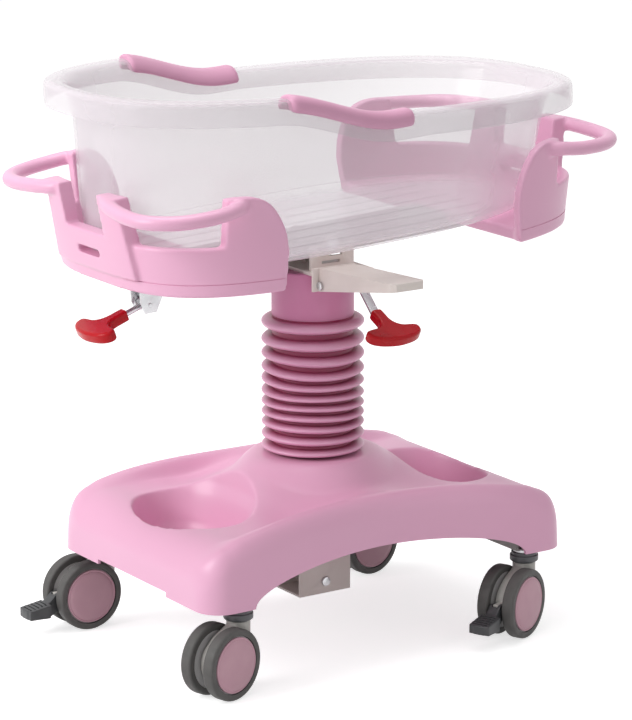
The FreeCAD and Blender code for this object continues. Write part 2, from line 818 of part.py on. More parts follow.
def lift_lever_pin():
    y = -dim("lift_pivot_y")
    z = dim("lift_pivot_z")
    shank = cylinder("lift_pin_shank", "3", "22", along_x(31.5, y, z))
    head = cylinder("lift_pin_head", "5", "2", along_x(52, y, z))
    tail = cylinder("lift_pin_tail", "5", "1.3", along_x(31.3, y, z))
    return fuse("lift_pin", shank, head, tail)


def red_grip():
    """Moulded grip: a round-edged neck that flares into a crescent, along local -Y."""
    right = [(8.5, 0), (9, -14.5), (11, -27), (20, -36), (34, -38.5), (42.5, -42.5), (43, -51.5),
             (34.5, -60.5), (18, -66)]
    outline = right + [(0, -68)] + [(-x, y) for x, y in right[::-1]]
    curve = Part.BSplineCurve()
    curve.interpolate([Vector(x, y, -8) for x, y in outline])
    closing = Part.makeLine(Vector(-8.5, 0, -8), Vector(8.5, 0, -8))
    face = Part.Face(Part.Wire([curve.toShape(), closing]))
    solid = face.extrude(Vector(0, 0, 16))
    edges = [edge for edge in solid.Edges if edge.BoundBox.ZLength < 0.1 and edge.Length > 40]
    return solid.makeFillet(4.5, edges)


def lift_lever_grip(strap):
    """Red grip pushed over the end of the strap."""
    shape = red_grip()
    tilt = Placement(Vector(dim("strap_x") + dim("strap_width") / 2, -98, 472),
                     Rotation(Vector(1, 0, 0), 24.6))
    shape.Placement = tilt
    return free_form("lift_grip", shape.cut(strap.Shape))


def build_head():
    node(head_bracket(), "head_bracket")
    node(trunnion_pins(), "trunnion_pins")
    node(hand_paddle(), "hand_paddle")
    node(paddle_pin(), "paddle_pin")
    strap = node(lift_lever_strap(), "lift_lever_strap")
    node(lift_lever_pin(), "lift_lever_pin")
    doc.recompute()
    node(lift_lever_grip(strap), "lift_lever_grip")


# ---------------------------------------------------------------- cradle

def cradle_spine():
    """Folded channel that carries both end holders and turns on the trunnions."""
    half = dim("cradle_spine_half")
    low = dim("cradle_spine_bottom")
    width = dim("cradle_spine_width")
    wall = dim("cradle_spine_wall")
    outer = box("cradle_outer", "2 * dims.cradle_spine_half", "dims.cradle_spine_width",
                "dims.cradle_spine_depth", (-half, -width / 2, low))
    inner = box("cradle_inner", "2 * dims.cradle_spine_half",
                "dims.cradle_spine_width - 2 * dims.cradle_spine_wall",
                "dims.cradle_spine_depth - dims.cradle_spine_wall",
                (-half, wall - width / 2, low))
    bore = cylinder("cradle_bore", "dims.trunnion_radius + dims.running_gap",
                    "dims.cradle_spine_width", along_y(0, -width / 2, dim("tilt_axis_z")))
    holes = [cylinder(f"cradle_hole_{index}", "3", "10", along_z(x, y, low + 16))
             for index, (x, y) in enumerate(screw_places())]
    return cut("cradle_channel", outer, inner, bore, *holes)


SCREWS = [(x, y) for x in (215, 280) for y in (-24, 24)]


def screw_places():
    """Where the four screws of each end holder stand."""
    shift = dim("holder_foot_shift")
    return [(-x, y) for x, y in SCREWS] + [(x + shift, y) for x, y in SCREWS]


def holder_screws():
    """Countersunk-style screws, flush with the floor of each holder."""
    screws = []
    floor_top = dim("basin_bottom")
    for index, (x, y) in enumerate(screw_places()):
        shank = cylinder(f"screw_shank_{index}", "3", "dims.holder_floor + dims.cradle_spine_wall",
                         along_z(x, y, floor_top - dim("holder_floor") - 4))
        head = cylinder(f"screw_head_{index}", "5.5", "3", along_z(x, y, floor_top - 3))
        screws.append(fuse(f"screw_{index}", shank, head))
    return group("screws", *screws)


HOLDER_RINGS = ((0, 347, 232), (18, 349, 233), (38, 352, 234), (84, 359, 238),
                (134, 367, 243), (154, 370, 245))


def holder_solid(inset):
    """Solid inside the outline of a holder's wall, moved inwards by an inset."""
    base = dim("holder_bottom")
    rings = [(a - inset, b - inset, 3.3, base + rise) for rise, a, b in HOLDER_RINGS]
    return lofted_rings(rings)


def holder_profile():
    """Side view of a holder: leaning front edge, crest and level rail, as a slab."""
    low = dim("holder_bottom")
    front = dim("holder_front")
    crest = [(front, low - 4), (front - 6, 610), (front - 4, 640), (front + 6, 668),
             (front + 22, 690), (front + 42, 700), (front + 65, 702), (front + 90, 700),
             (front + 165, 699), (front + 260, 699)]
    spline = Part.BSplineCurve()
    spline.interpolate([Vector(x, -300, z) for x, z in crest])
    end = front + 260
    corners = [Vector(end, -300, 699), Vector(end, -300, low - 4), Vector(front, -300, low - 4)]
    edges = [spline.toShape()]
    edges += [Part.makeLine(a, b) for a, b in zip(corners, corners[1:])]
    return Part.Face(Part.Wire(edges)).extrude(Vector(0, 600, 0))


RAIL_PATH = ((238, 214, 4), (262, 226, 3), (289, 230, 0), (319, 226, -2), (345, 216, -3),
             (364, 200, -3), (376, 179, -3), (381, 151, -2), (380, 119, 0), (376, 91, 2),
             (369, 70, 3), (361, 56, 4))


def holder_rail(side):
    """Oval handle rail that bulges out over one window, from the wing to the post."""
    height = dim("window_top") + dim("rail_radius")
    path = Part.BSplineCurve()
    path.interpolate([Vector(x, side * y, height + rise) for x, y, rise in RAIL_PATH])
    start = path.value(path.FirstParameter)
    along = path.tangent(path.FirstParameter)[0]
    across = along.cross(Vector(0, 0, 1))
    oval = Part.Ellipse(start + across * dim("rail_half_width"),
                        start + Vector(0, 0, 1) * dim("rail_radius"), start)
    ring = Part.Wire([oval.toShape()])
    return Part.Wire([path.toShape()]).makePipeShell([ring], True, False)


def slab(low, high):
    """A box between two corner points."""
    size = [b - a for a, b in zip(low, high)]
    return Part.makeBox(*size, Vector(*low))


def end_holder():
    """One U-shaped moulded holder at the +X end: wall, posts, rail, windows and floor."""
    outer = holder_solid(0)
    inner = holder_solid(dim("holder_wall"))
    front = dim("holder_front")
    low = dim("holder_bottom")
    post = dim("post_half_y")
    floor_top = dim("basin_bottom")
    floor_low = floor_top - dim("holder_floor")
    posts = slab((300, -post, low + 15), (460, post, 720))
    proud = holder_solid(-dim("post_proud")).cut(inner).common(posts)
    body = outer.cut(inner).fuse(proud).common(holder_profile())
    floor = outer.common(slab((front, -300, floor_low), (460, 300, floor_top)))
    sill = outer.common(slab((front, -300, low), (front + 5, 300, floor_top)))
    body = body.fuse([floor, sill])
    gap = dim("post_gap_half")
    start = dim("window_start")
    window_low = dim("window_bottom")
    for side in (-1, 1):
        low_y = post if side > 0 else -300
        body = body.cut(slab((start, low_y, window_low), (470, low_y + 300 - post, 720)))
        body = body.fuse(holder_rail(side))
    cutters = [slab((300, -gap, dim("low_band_top")), (470, gap, 720)),
               slab((330, -28, 606), (470, 28, 616)),
               slab((front - 2, -42, low - 2), (front + 8, 42, floor_low))]
    for x, y in SCREWS:
        cutters.append(Part.makeCylinder(3, 12, Vector(x, y, floor_low - 2)))
        cutters.append(Part.makeCylinder(5.5, 4, Vector(x, y, floor_top - 3)))
    for cutter in cutters:
        body = body.cut(cutter)
    return body


def tilt_gas_cylinder():
    place = along_x(-258, 0, dim("anchor_z"))
    barrel = cylinder("tilt_barrel", "dims.tilt_cylinder_radius", "178", place)
    bore = cylinder("tilt_barrel_bore", "dims.tilt_cylinder_radius - 2", "160",
                    along_x(-248, 0, dim("anchor_z")))
    gland = cylinder("tilt_gland", "dims.tilt_rod_radius + 0.1", "20",
                     along_x(-95, 0, dim("anchor_z")))
    return cut("tilt_cylinder", barrel, bore, gland)


def tilt_gas_rod():
    """Rod with a ring eye that hooks, with play, over the anchor pin of the head."""
    z = dim("anchor_z")
    shaft = cylinder("tilt_shaft", "dims.tilt_rod_radius", "112", along_x(-118, 0, z))
    piston = cylinder("tilt_piston", "dims.tilt_cylinder_radius - 2.3", "6", along_x(-118, 0, z))
    eye = cylinder("tilt_eye", "9", "11", along_y(0, -5.5, z))
    blank = fuse("tilt_rod_blank", shaft, piston, eye)
    bore = cylinder("tilt_eye_bore", "dims.anchor_radius + dims.anchor_gap", "11",
                    along_y(0, -5.5, z))
    return cut("tilt_rod", blank, bore)


def tilt_lever_bracket():
    """Steel bracket under the spine: it clamps the gas spring and carries the lever."""
    top = dim("cradle_spine_bottom") + dim("cradle_spine_depth") - dim("cradle_spine_wall")
    x = -dim("tilt_pivot_x")
    z = dim("tilt_pivot_z")
    side = [(-244, top), (x - 14, top), (x - 14, z + 3), (x - 8, z - 11), (x + 10, z - 11),
            (-256, z + 12), (-244, z + 12)]
    blank = padded("tilt_bracket_side", "XZ_Plane", side, "28")
    slot = box("tilt_bracket_slot", "120", "22", "120", (-340, -11, 440))
    keep = box("tilt_bracket_keep", "6", "28", "40", (-250, -14, top - 40))
    roof = box("tilt_bracket_roof", "48", "28", "3", (x - 14, -14, top - 3))
    channel = cut("tilt_bracket_channel", blank, slot)
    pin = cylinder("tilt_bracket_pin", "3", "32", along_y(x, -16, z))
    joined = fuse("tilt_bracket_joined", channel, keep, roof, pin)
    seat = cylinder("tilt_bracket_seat", "dims.tilt_cylinder_radius", "120",
                    along_x(-300, 0, dim("anchor_z")))
    return cut("tilt_bracket", joined, seat)


def tilt_lever_rod():
    """Steel rod from the lever boss out to the red grip, sloping down."""
    x = -dim("tilt_pivot_x")
    z = dim("tilt_pivot_z")
    boss = cylinder("tilt_boss", "8", "20", along_y(x, -10, z))
    slope = Rotation(Vector(0, 1, 0), -90 - dim("tilt_lever_drop"))
    shaft = cylinder("tilt_lever_shaft", "4", "62", Placement(Vector(x, 0, z), slope))
    blank = fuse("tilt_lever_blank", boss, shaft)
    bore = cylinder("tilt_lever_bore", "3 + dims.running_gap", "20", along_y(x, -10, z))
    return cut("tilt_lever", blank, bore)


def tilt_lever_grip(rod):
    """Red grip pushed over the end of the rod."""
    drop = dim("tilt_lever_drop")
    angle = math.radians(drop)
    start = Vector(-dim("tilt_pivot_x") - 34 * math.cos(angle), 0,
                   dim("tilt_pivot_z") - 34 * math.sin(angle))
    slope = Rotation(Vector(0, 1, 0), -drop)
    shape = red_grip()
    shape.Placement = Placement(start, slope.multiply(Rotation(Vector(0, 0, 1), -90)))
    return free_form("tilt_grip", shape.cut(rod.Shape))


def build_cradle():
    node(cradle_spine(), "cradle_spine")
    holder = end_holder()
    right = holder.copy()
    right.translate(Vector(dim("holder_foot_shift"), 0, 0))
    node(free_form("holder_right", right), "end_holder_right")
    left = holder.mirror(Vector(0, 0, 0), Vector(1, 0, 0))
    node(free_form("holder_left", left), "end_holder_left")
    node(holder_screws(), "holder_screws")
    node(tilt_gas_cylinder(), "tilt_gas_cylinder")
    node(tilt_gas_rod(), "tilt_gas_rod")
    node(tilt_lever_bracket(), "tilt_lever_bracket")
    rod = node(tilt_lever_rod(), "tilt_lever_rod")
    doc.recompute()
    node(tilt_lever_grip(rod), "tilt_lever_grip")


# ---------------------------------------------------------------- basin

def rim_height(x):
    """Height of the rim: high at the head end, a dip, then falling gently to the foot."""
    head = dim("rim_head_z")
    dip = dim("rim_dip_z")
    foot = dim("rim_foot_z")
    station = x - dim("rim_shift")
    height = head + (dip - head) * smooth_step((station + 195) / 165)
    height += (foot - dip) * smooth_step((station + 30) / 60)
    return height - math.tan(math.radians(dim("cradle_lean"))) * station


def on_rim(drop):
    """Height function of a ring that follows the rim a little lower."""
    return lambda x, y: rim_height(x) - drop


def skinned(rings, capped):
    """A solid whose skin is ruled between closed curves, capped or joined in a ring."""
    wires = [closed_curve(superellipse(*ring)) for ring in rings]
    pairs = list(zip(wires, wires[1:]))
    if not capped:
        pairs.append((wires[-1], wires[0]))
    faces = []
    for low, high in pairs:
        faces += Part.makeRuledSurface(low, high).Faces
    if capped:
        faces += [Part.Face(wires[0]), Part.Face(wires[-1])]
    shell = Part.makeShell(faces)
    shell.sewShape()
    solid = Part.makeSolid(shell)
    if solid.Volume < 0:
        solid.reverse()
    return solid


def basin_solid():
    """Thin basin with a rolled rim: outside up, over the lip and down the inside."""
    bottom = dim("basin_bottom")
    floor = bottom + dim("basin_floor")
    a = dim("rim_half_x")
    b = dim("rim_half_y")
    far = dim("rim_shift")
    power = 2.6
    rings = [(318, 152, power, bottom), (330, 164, power, bottom + 6),
             (336, 171, power, bottom + 20, 1), (344, 183.5, power, 660, 3),
             (a - 42, b - 32, power, on_rim(50), 7), (a - 30, b - 31, power, on_rim(22), 10),
             (a - 24, b - 25, power, on_rim(9), far), (a - 13, b - 13, power, on_rim(5), far),
             (a - 7, b - 7, power, on_rim(8), far), (a - 5, b - 5, power, on_rim(14), far),
             (a - 5, b - 5, power, on_rim(33), far), (a, b, power, on_rim(33), far),
             (a, b, power, on_rim(9), far), (a - 4, b - 4, power, on_rim(2), far),
             (a - 13, b - 13, power, on_rim(0), far), (a - 27, b - 28, power, on_rim(4), far),
             (a - 35, b - 36, power, on_rim(16), 11), (a - 46, b - 36, power, on_rim(48), 7),
             (340, 179.5, power, 660, 3), (332, 167, power, bottom + 21, 1),
             (326, 160, power, bottom + 10), (314, 148, power, floor)]
    return skinned(rings, capped=True)


def rim_insert(basin, side):
    """Padded strip clipped over the lip where the rim dips, on one long side."""
    a = dim("rim_half_x")
    b = dim("rim_half_y")
    section = [(2, 2, 17), (-3, -3, 16), (-4, -4, 4), (2, 2, -4), (14, 14, -6), (30, 31, 0),
               (38.5, 39.5, 14), (34, 35, 17), (26, 27, 6), (13, 13, 2.2), (5.5, 5.5, 3.8),
               (2, 2, 9.5)]
    rings = [(a - in_x, b - in_y, 2.6, on_rim(drop), dim("rim_shift"))
             for in_x, in_y, drop in section]
    ring = skinned(rings, capped=False)
    low_y = -300 if side < 0 else 100
    reach = slab((-169, low_y, 700), (18, low_y + 200, 900))
    return ring.common(reach).cut(basin)


def build_basin():
    basin = basin_solid()
    node(free_form("basin_skin", basin), "basin")
    node(free_form("insert_front", rim_insert(basin, -1)), "rim_insert_front")
    node(free_form("insert_back", rim_insert(basin, 1)), "rim_insert_back")


# ---------------------------------------------------------------- place at rest

LEANING = ("cradle_spine", "end_holder_left", "end_holder_right", "holder_screws",
           "tilt_gas_cylinder", "tilt_gas_rod", "tilt_lever_bracket", "tilt_lever_rod",
           "tilt_lever_grip", "basin", "rim_insert_front", "rim_insert_back")


def lean_cradle():
    """Leans the cradle with all it carries; the gas rod stays hooked on its anchor pin."""
    angle = dim("cradle_lean")
    axis = dim("tilt_axis_z")
    lean = Placement(Vector(), Rotation(Vector(0, 1, 0), -angle), Vector(0, 0, axis))
    drawn_in = (dim("anchor_z") - axis) * math.sin(math.radians(angle))
    slide = Placement(Vector(drawn_in, 0, 0), Rotation())
    for part in nodes:
        if part.Label == "tilt_gas_rod":
            part.Placement = lean.multiply(slide).multiply(part.Placement)
        elif part.Label in LEANING:
            part.Placement = lean.multiply(part.Placement)


# ---------------------------------------------------------------- checks and export

def check_and_export():
    doc.recompute()
    failed = [item.Name for item in doc.Objects
              if "Invalid" in item.State or "Error" in item.State]
    if failed:
        raise RuntimeError("failed objects: " + ", ".join(failed))
    for part in nodes:
        if part.Shape.isNull() or not part.Shape.isValid():
            raise RuntimeError("bad shape: " + part.Label)
        if part.Shape.Volume <= 0:
            raise RuntimeError("no volume: " + part.Label)
    os.makedirs("parts", exist_ok=True)
    for part in nodes:
        part.Shape.exportStep(f"parts/{part.Label}.step")
        print(f"{part.Label:28s} {len(part.Shape.Solids)} {part.Shape.Volume / 1000:9.1f} cm3")
    print(len(nodes), "nodes")


build_castors()
build_base()
build_column()
build_head()
build_cradle()
build_basin()
lean_cradle()
check_and_export()
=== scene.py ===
import math

import bmesh
import bpy
from mathutils import Matrix, Vector


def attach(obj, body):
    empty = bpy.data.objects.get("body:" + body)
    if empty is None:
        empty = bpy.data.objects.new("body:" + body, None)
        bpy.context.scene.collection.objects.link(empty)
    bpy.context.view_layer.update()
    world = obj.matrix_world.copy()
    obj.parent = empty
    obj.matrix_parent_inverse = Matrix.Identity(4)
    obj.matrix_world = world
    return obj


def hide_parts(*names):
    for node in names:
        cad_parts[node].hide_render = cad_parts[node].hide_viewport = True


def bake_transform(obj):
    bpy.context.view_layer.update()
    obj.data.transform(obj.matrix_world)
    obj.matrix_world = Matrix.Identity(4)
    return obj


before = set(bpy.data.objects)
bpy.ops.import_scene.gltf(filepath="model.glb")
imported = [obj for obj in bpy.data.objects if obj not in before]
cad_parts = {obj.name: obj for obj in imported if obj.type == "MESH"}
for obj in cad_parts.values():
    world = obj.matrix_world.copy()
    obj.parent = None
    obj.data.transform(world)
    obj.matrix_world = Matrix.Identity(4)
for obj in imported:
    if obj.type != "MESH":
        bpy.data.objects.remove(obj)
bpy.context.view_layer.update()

# Hospital bassinet. Sizes are millimetres until a point is placed; the frame is the CAD's:
# origin on the floor under the column, +Z up, +X the foot end, -Y the paddle's side.

MM = 0.001


# ---------------------------------------------------------------- shaping

def pick(*pieces):
    """Leaves only these pieces selected, the first one active."""
    bpy.ops.object.select_all(action="DESELECT")
    for piece in pieces:
        piece.select_set(True)
    bpy.context.view_layer.objects.active = pieces[0]


def worked(piece, kind, **settings):
    """Adds a modifier with its settings and applies it."""
    pick(piece)
    modifier = piece.modifiers.new("work", kind)
    for key, value in settings.items():
        setattr(modifier, key, value)
    bpy.ops.object.modifier_apply(modifier=modifier.name)
    return piece


def tidied(piece, merge=0.000001):
    """Merges doubled points and turns every face outwards."""
    pick(piece)
    bpy.ops.object.mode_set(mode="EDIT")
    bpy.ops.mesh.select_all(action="SELECT")
    bpy.ops.mesh.remove_doubles(threshold=merge)
    bpy.ops.mesh.normals_make_consistent(inside=False)
    bpy.ops.object.mode_set(mode="OBJECT")
    return piece


def loft(name, rings, capped=True):
    """A skin through rings of points: one circle, extruded from ring to ring."""
    bpy.ops.object.select_all(action="DESELECT")
    fill = "NGON" if capped else "NOTHING"
    bpy.ops.mesh.primitive_circle_add(vertices=len(rings[0]), fill_type=fill)
    piece = bpy.context.active_object
    piece.name = name
    bpy.ops.object.mode_set(mode="EDIT")
    mesh = bmesh.from_edit_mesh(piece.data)
    rank = mesh.verts.layers.int.new("rank")
    for index, vert in enumerate(mesh.verts):
        vert[rank] = index
        vert.co = Vector(rings[0][index]) * MM
    bmesh.update_edit_mesh(piece.data)
    for ring in rings[1:]:
        bpy.ops.mesh.extrude_region_move()
        mesh = bmesh.from_edit_mesh(piece.data)
        rank = mesh.verts.layers.int["rank"]
        for vert in mesh.verts:
            if vert.select:
                vert.co = Vector(ring[vert[rank]]) * MM
        bmesh.update_edit_mesh(piece.data)
    bpy.ops.object.mode_set(mode="OBJECT")
    piece.data.attributes.remove(piece.data.attributes["rank"])
    return tidied(piece)


def turned(name, profile, steps=96):
    """A closed profile of (radius, height) points, spun once round the Z axis."""
    bpy.ops.object.select_all(action="DESELECT")
    bpy.ops.mesh.primitive_circle_add(vertices=len(profile))
    piece = bpy.context.active_object
    piece.name = name
    for vert, (radius, height) in zip(piece.data.vertices, profile):
        vert.co = (radius * MM, 0, height * MM)
    bpy.ops.object.mode_set(mode="EDIT")
    bpy.ops.mesh.select_all(action="SELECT")
    bpy.ops.mesh.spin(steps=steps, angle=2 * math.pi, center=(0, 0, 0), axis=(0, 0, 1))
    bpy.ops.object.mode_set(mode="OBJECT")
    return tidied(piece)


def extruded(name, outline, depth):
    """A flat outline of points, filled and pushed out along a depth vector."""
    far = [Vector(point) + Vector(depth) for point in outline]
    return loft(name, [outline, far])


def block(name, low, high):
    """A rectangular block between two corners, for cutting with."""
    corners = [(low[0], low[1]), (high[0], low[1]), (high[0], high[1]), (low[0], high[1])]
    return extruded(name, [(x, y, low[2]) for x, y in corners], (0, 0, high[2] - low[2]))


def rod(name, start, axis, radius, length, count=48):
    """A round bar from a start point along an axis, for cutting and for building up."""
    along = Vector(axis).normalized()
    side = along.orthogonal().normalized()
    other = along.cross(side)
    angles = [2 * math.pi * index / count for index in range(count)]
    ring = [Vector(start) + radius * (side * math.cos(a) + other * math.sin(a)) for a in angles]
    return extruded(name, ring, along * length)


def carved(piece, *tools, how="DIFFERENCE", keep=False):
    """Cuts away, adds or keeps in common the space of the tools."""
    for tool in tools:
        worked(piece, "BOOLEAN", object=tool, operation=how, solver="EXACT")
        if not keep:
            bpy.data.objects.remove(tool)
    return piece


def joined(piece, *others):
    """Makes one object of overlapping closed shells."""
    pick(piece, *others)
    bpy.ops.object.join()
    return piece


def softened(piece, voxel, passes, share=1.0):
    """Fuses a piece into one skin and rounds its edges as a mould does."""
    worked(piece, "REMESH", mode="VOXEL", voxel_size=voxel * MM)
    worked(piece, "SMOOTH", factor=0.5, iterations=passes)
    if share < 1:
        worked(piece, "DECIMATE", ratio=share)
    return piece


def rounded(piece, width, segments=3, angle=30):
    return worked(piece, "BEVEL", width=width * MM, segments=segments, limit_method="ANGLE",
                  angle_limit=math.radians(angle), harden_normals=False)


def placed(piece, matrix):
    piece.data.transform(matrix)
    return piece


def shift(x, y, z):
    return Matrix.Translation(Vector((x, y, z)) * MM)


def turn(degrees, axis):
    return Matrix.Rotation(math.radians(degrees), 4, axis)


def copied(piece, name, matrix=None):
    twin = piece.copy()
    twin.data = piece.data.copy()
    twin.name = name
    bpy.context.scene.collection.objects.link(twin)
    return placed(twin, matrix) if matrix else twin


def mirrored(piece, name):
    """The same moulding for the other end."""
    return tidied(copied(piece, name, Matrix.Scale(-1, 4, (1, 0, 0))))


# The cradle and the basin are drawn level; at rest they lean, head end down.
LEAN_DEGREES = 3
TILT_AXIS = 568
LEAN = shift(0, 0, TILT_AXIS) @ turn(-LEAN_DEGREES, "Y") @ shift(0, 0, -TILT_AXIS)


def from_part(node, name, width, segments=2):
    """A copy of a solid of the frame with its flat faces whole and its edges broken."""
    piece = copied(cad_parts[node], name)
    piece.parent = None
    piece.hide_render = False
    for key in list(piece.keys()):
        del piece[key]
    tidied(piece, 0.00001)
    worked(piece, "DECIMATE", decimate_type="DISSOLVE", angle_limit=math.radians(1))
    return rounded(piece, width, segments) if width else piece


def dressed(piece, body, finish, slot, *nodes, angle=35):
    """Shades a finished piece, gives it its finish and lets it ride on its body."""
    pick(piece)
    bpy.ops.object.shade_smooth_by_angle(angle=math.radians(angle))
    piece.data.materials.clear()
    piece.data.materials.append(finish)
    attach(piece, body)
    if nodes:
        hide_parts(*nodes)
    return piece


# ---------------------------------------------------------------- curves

def smooth_step(value):
    t = min(1.0, max(0.0, value))
    return t * t * (3 - 2 * t)


def quarter_drop(share):
    """Fall of a round edge, 0 at its crown and 1 where it turns into the wall."""
    return 1 - math.sqrt(max(0.0, 1 - min(1.0, max(0.0, share)) ** 2))


def through(points, steps, closed=False):
    """A smooth line through points of any dimension, with steps between neighbours."""
    points = [Vector(point) for point in points]
    count = len(points)
    line = []
    for index in range(count if closed else count - 1):
        if closed:
            a, b, c, d = (points[(index + k) % count] for k in (-1, 0, 1, 2))
        else:
            b, c = points[index], points[index + 1]
            a = points[index - 1] if index else b * 2 - c
            d = points[index + 2] if index + 2 < count else c * 2 - b
        for step in range(steps):
            t = step / steps
            line.append(0.5 * (2 * b + (c - a) * t + (2 * a - 5 * b + 4 * c - d) * t ** 2
                               + (3 * b - a - 3 * c + d) * t ** 3))
    return line if closed else line + [points[-1]]


def oval(half_x, half_y, power, height, centre=0.0, count=192):
    """A superellipse ring; its height is a number or a function of x."""
    ring = []
    for index in range(count):
        angle = 2 * math.pi * index / count
        cosine, sine = math.cos(angle), math.sin(angle)
        x = centre + half_x * math.copysign(abs(cosine) ** (2 / power), cosine)
        y = half_y * math.copysign(abs(sine) ** (2 / power), sine)
        ring.append((x, y, height(x) if callable(height) else height))
    return ring


def round_profile(corners, radius, steps=4):
    """A closed outline of (radius, height) corners with each corner rounded off."""
    outline = []
    count = len(corners)
    for index in range(count):
        here = Vector(corners[index])
        before, after = Vector(corners[index - 1]), Vector(corners[(index + 1) % count])
        size = radius[index] if isinstance(radius, (list, tuple)) else radius
        size = min(size, (before - here).length * 0.45, (after - here).length * 0.45)
        if size < 0.05 or here.x < 0.01:
            outline.append(here)
            continue
        start = here + (before - here).normalized() * size
        end = here + (after - here).normalized() * size
        for step in range(steps + 1):
            t = step / steps
            outline.append(start * (1 - t) ** 2 + here * 2 * t * (1 - t) + end * t ** 2)
    return [tuple(point) for point in outline]


# ---------------------------------------------------------------- finishes

def colour(code):
    """sRGB hex to the linear colour a shader takes."""
    channels = [int(code[index:index + 2], 16) / 255 for index in (1, 3, 5)]
    return [c / 12.92 if c <= 0.04045 else ((c + 0.055) / 1.055) ** 2.4 for c in channels] + [1]


def add(tree, kind, inputs=None, **settings):
    """Adds a node: its settings, then its inputs, each a value or another node's output."""
    node = tree.nodes.new("ShaderNode" + kind)
    for key, value in settings.items():
        setattr(node, key, value)
    for key, value in (inputs or {}).items():
        if isinstance(value, bpy.types.NodeSocket):
            tree.links.new(value, node.inputs[key])
        else:
            node.inputs[key].default_value = value
    return node


def finish(name, pale, deep, patch, rough, grain, bump, **shader):
    """A finish: its colour drifts over patches, its gloss varies and its grain stands up.

    patch and grain are sizes in mm, rough is (least, most), bump the grain's height in mm.
    """
    made = bpy.data.materials.new(name)
    made.use_nodes = True
    tree = made.node_tree
    tree.nodes.clear()
    place = add(tree, "TexCoord").outputs["Object"]
    drift = add(tree, "TexNoise", {"Vector": place, "Scale": 1000 / patch, "Detail": 4})
    tint = add(tree, "MixRGB", {"Fac": drift.outputs["Fac"], "Color1": colour(pale),
                                "Color2": colour(deep)})
    fine = add(tree, "TexNoise", {"Vector": place, "Scale": 1000 / grain, "Detail": 3})
    gloss = add(tree, "MapRange", {"Value": drift.outputs["Fac"], "From Min": 0.3,
                                   "From Max": 0.7, "To Min": rough[0], "To Max": rough[1]})
    relief = add(tree, "Bump", {"Height": fine.outputs["Fac"], "Strength": 0.5,
                                "Distance": bump * MM})
    body = add(tree, "BsdfPrincipled", {"Base Color": tint.outputs["Color"],
                                        "Roughness": gloss.outputs["Result"],
                                        "Normal": relief.outputs["Normal"]})
    for key, value in shader.items():
        body.inputs[key.replace("_", " ")].default_value = value
    add(tree, "OutputMaterial", {"Surface": body.outputs["BSDF"]})
    return made


# Injection-moulded ABS: an even, glossy skin with a very fine spark texture.
PINK_ABS = finish("moulded_pink_abs", "#EDB4D1", "#EBB0CE", 160, (0.36, 0.42), 1.6, 0.004,
                  Specular_IOR_Level=0.4, Coat_Weight=0.2, Coat_Roughness=0.2)
# Soft vinyl collar: the same deeper pink as the sleeve below it.
PINK_VINYL = finish("soft_vinyl_pink", "#D88BB2", "#D07EA8", 40, (0.34, 0.46), 1.2, 0.03)
# Polypropylene caps: dusty pink with a satin face.
PINK_PP = finish("satin_pink_polypropylene", "#CFA3B0", "#C598A7", 25, (0.42, 0.52), 0.9, 0.03)
# Soft vinyl edging: the same pink as the mouldings, a little duller.
PINK_EDGING = finish("soft_vinyl_edging", "#DDA3C0", "#D599B7", 45, (0.38, 0.48), 1.1, 0.03)
# Glossy nylon grips: deep even red with sharp highlights.
RED_NYLON = finish("glossy_red_nylon", "#C20A1A", "#B40715", 30, (0.2, 0.28), 1.0, 0.004,
                   Specular_IOR_Level=0.22)
# Powder coat on sheet steel: warm off-white with a faint orange peel.
POWDER_BEIGE = finish("powder_coat_beige", "#EFE5DF", "#E5DAD4", 30, (0.36, 0.46), 1.4, 0.05)
# Powder coat on the chassis tubes: plain grey.
POWDER_GREY = finish("powder_coat_grey", "#A9A7A4", "#9C9A97", 40, (0.42, 0.52), 1.4, 0.05)
# Black powder coat on the small brackets.
POWDER_BLACK = finish("powder_coat_black", "#3A3839", "#2E2C2D", 25, (0.4, 0.5), 1.2, 0.05)
# Zinc plate on turned and pressed steel: bright, with fine tool marks.
ZINC_STEEL = finish("bright_zinc_steel", "#D2D2D4", "#BDBDC0", 12, (0.22, 0.36), 0.5, 0.01,
                    Metallic=1.0)
# Grey thermoplastic rubber tyres: matt, faintly mottled by dust.
GREY_RUBBER = finish("grey_tyre_rubber", "#5A5856", "#4B4A49", 14, (0.55, 0.7), 0.8, 0.04)
# Glass-filled nylon castor housings: light warm grey, slightly dull.
CASTOR_NYLON = finish("castor_housing_nylon", "#C6C3BE", "#B7B4AF", 20, (0.4, 0.5), 0.9, 0.03)
# Polypropylene wheel cores: light grey.
HUB_GREY = finish("wheel_core_polypropylene", "#BDBCBC", "#ABAAAB", 20, (0.45, 0.55), 0.9, 0.03)
# Acetal bushes and rings: mid grey, smooth.
ACETAL_GREY = finish("acetal_mid_grey", "#5E5F62", "#515255", 18, (0.35, 0.45), 0.9, 0.02)
# Brake pedals: dark grey nylon with a fine tread texture.
PEDAL_NYLON = finish("brake_pedal_nylon", "#48494B", "#3B3C3E", 16, (0.4, 0.55), 0.8, 0.06)


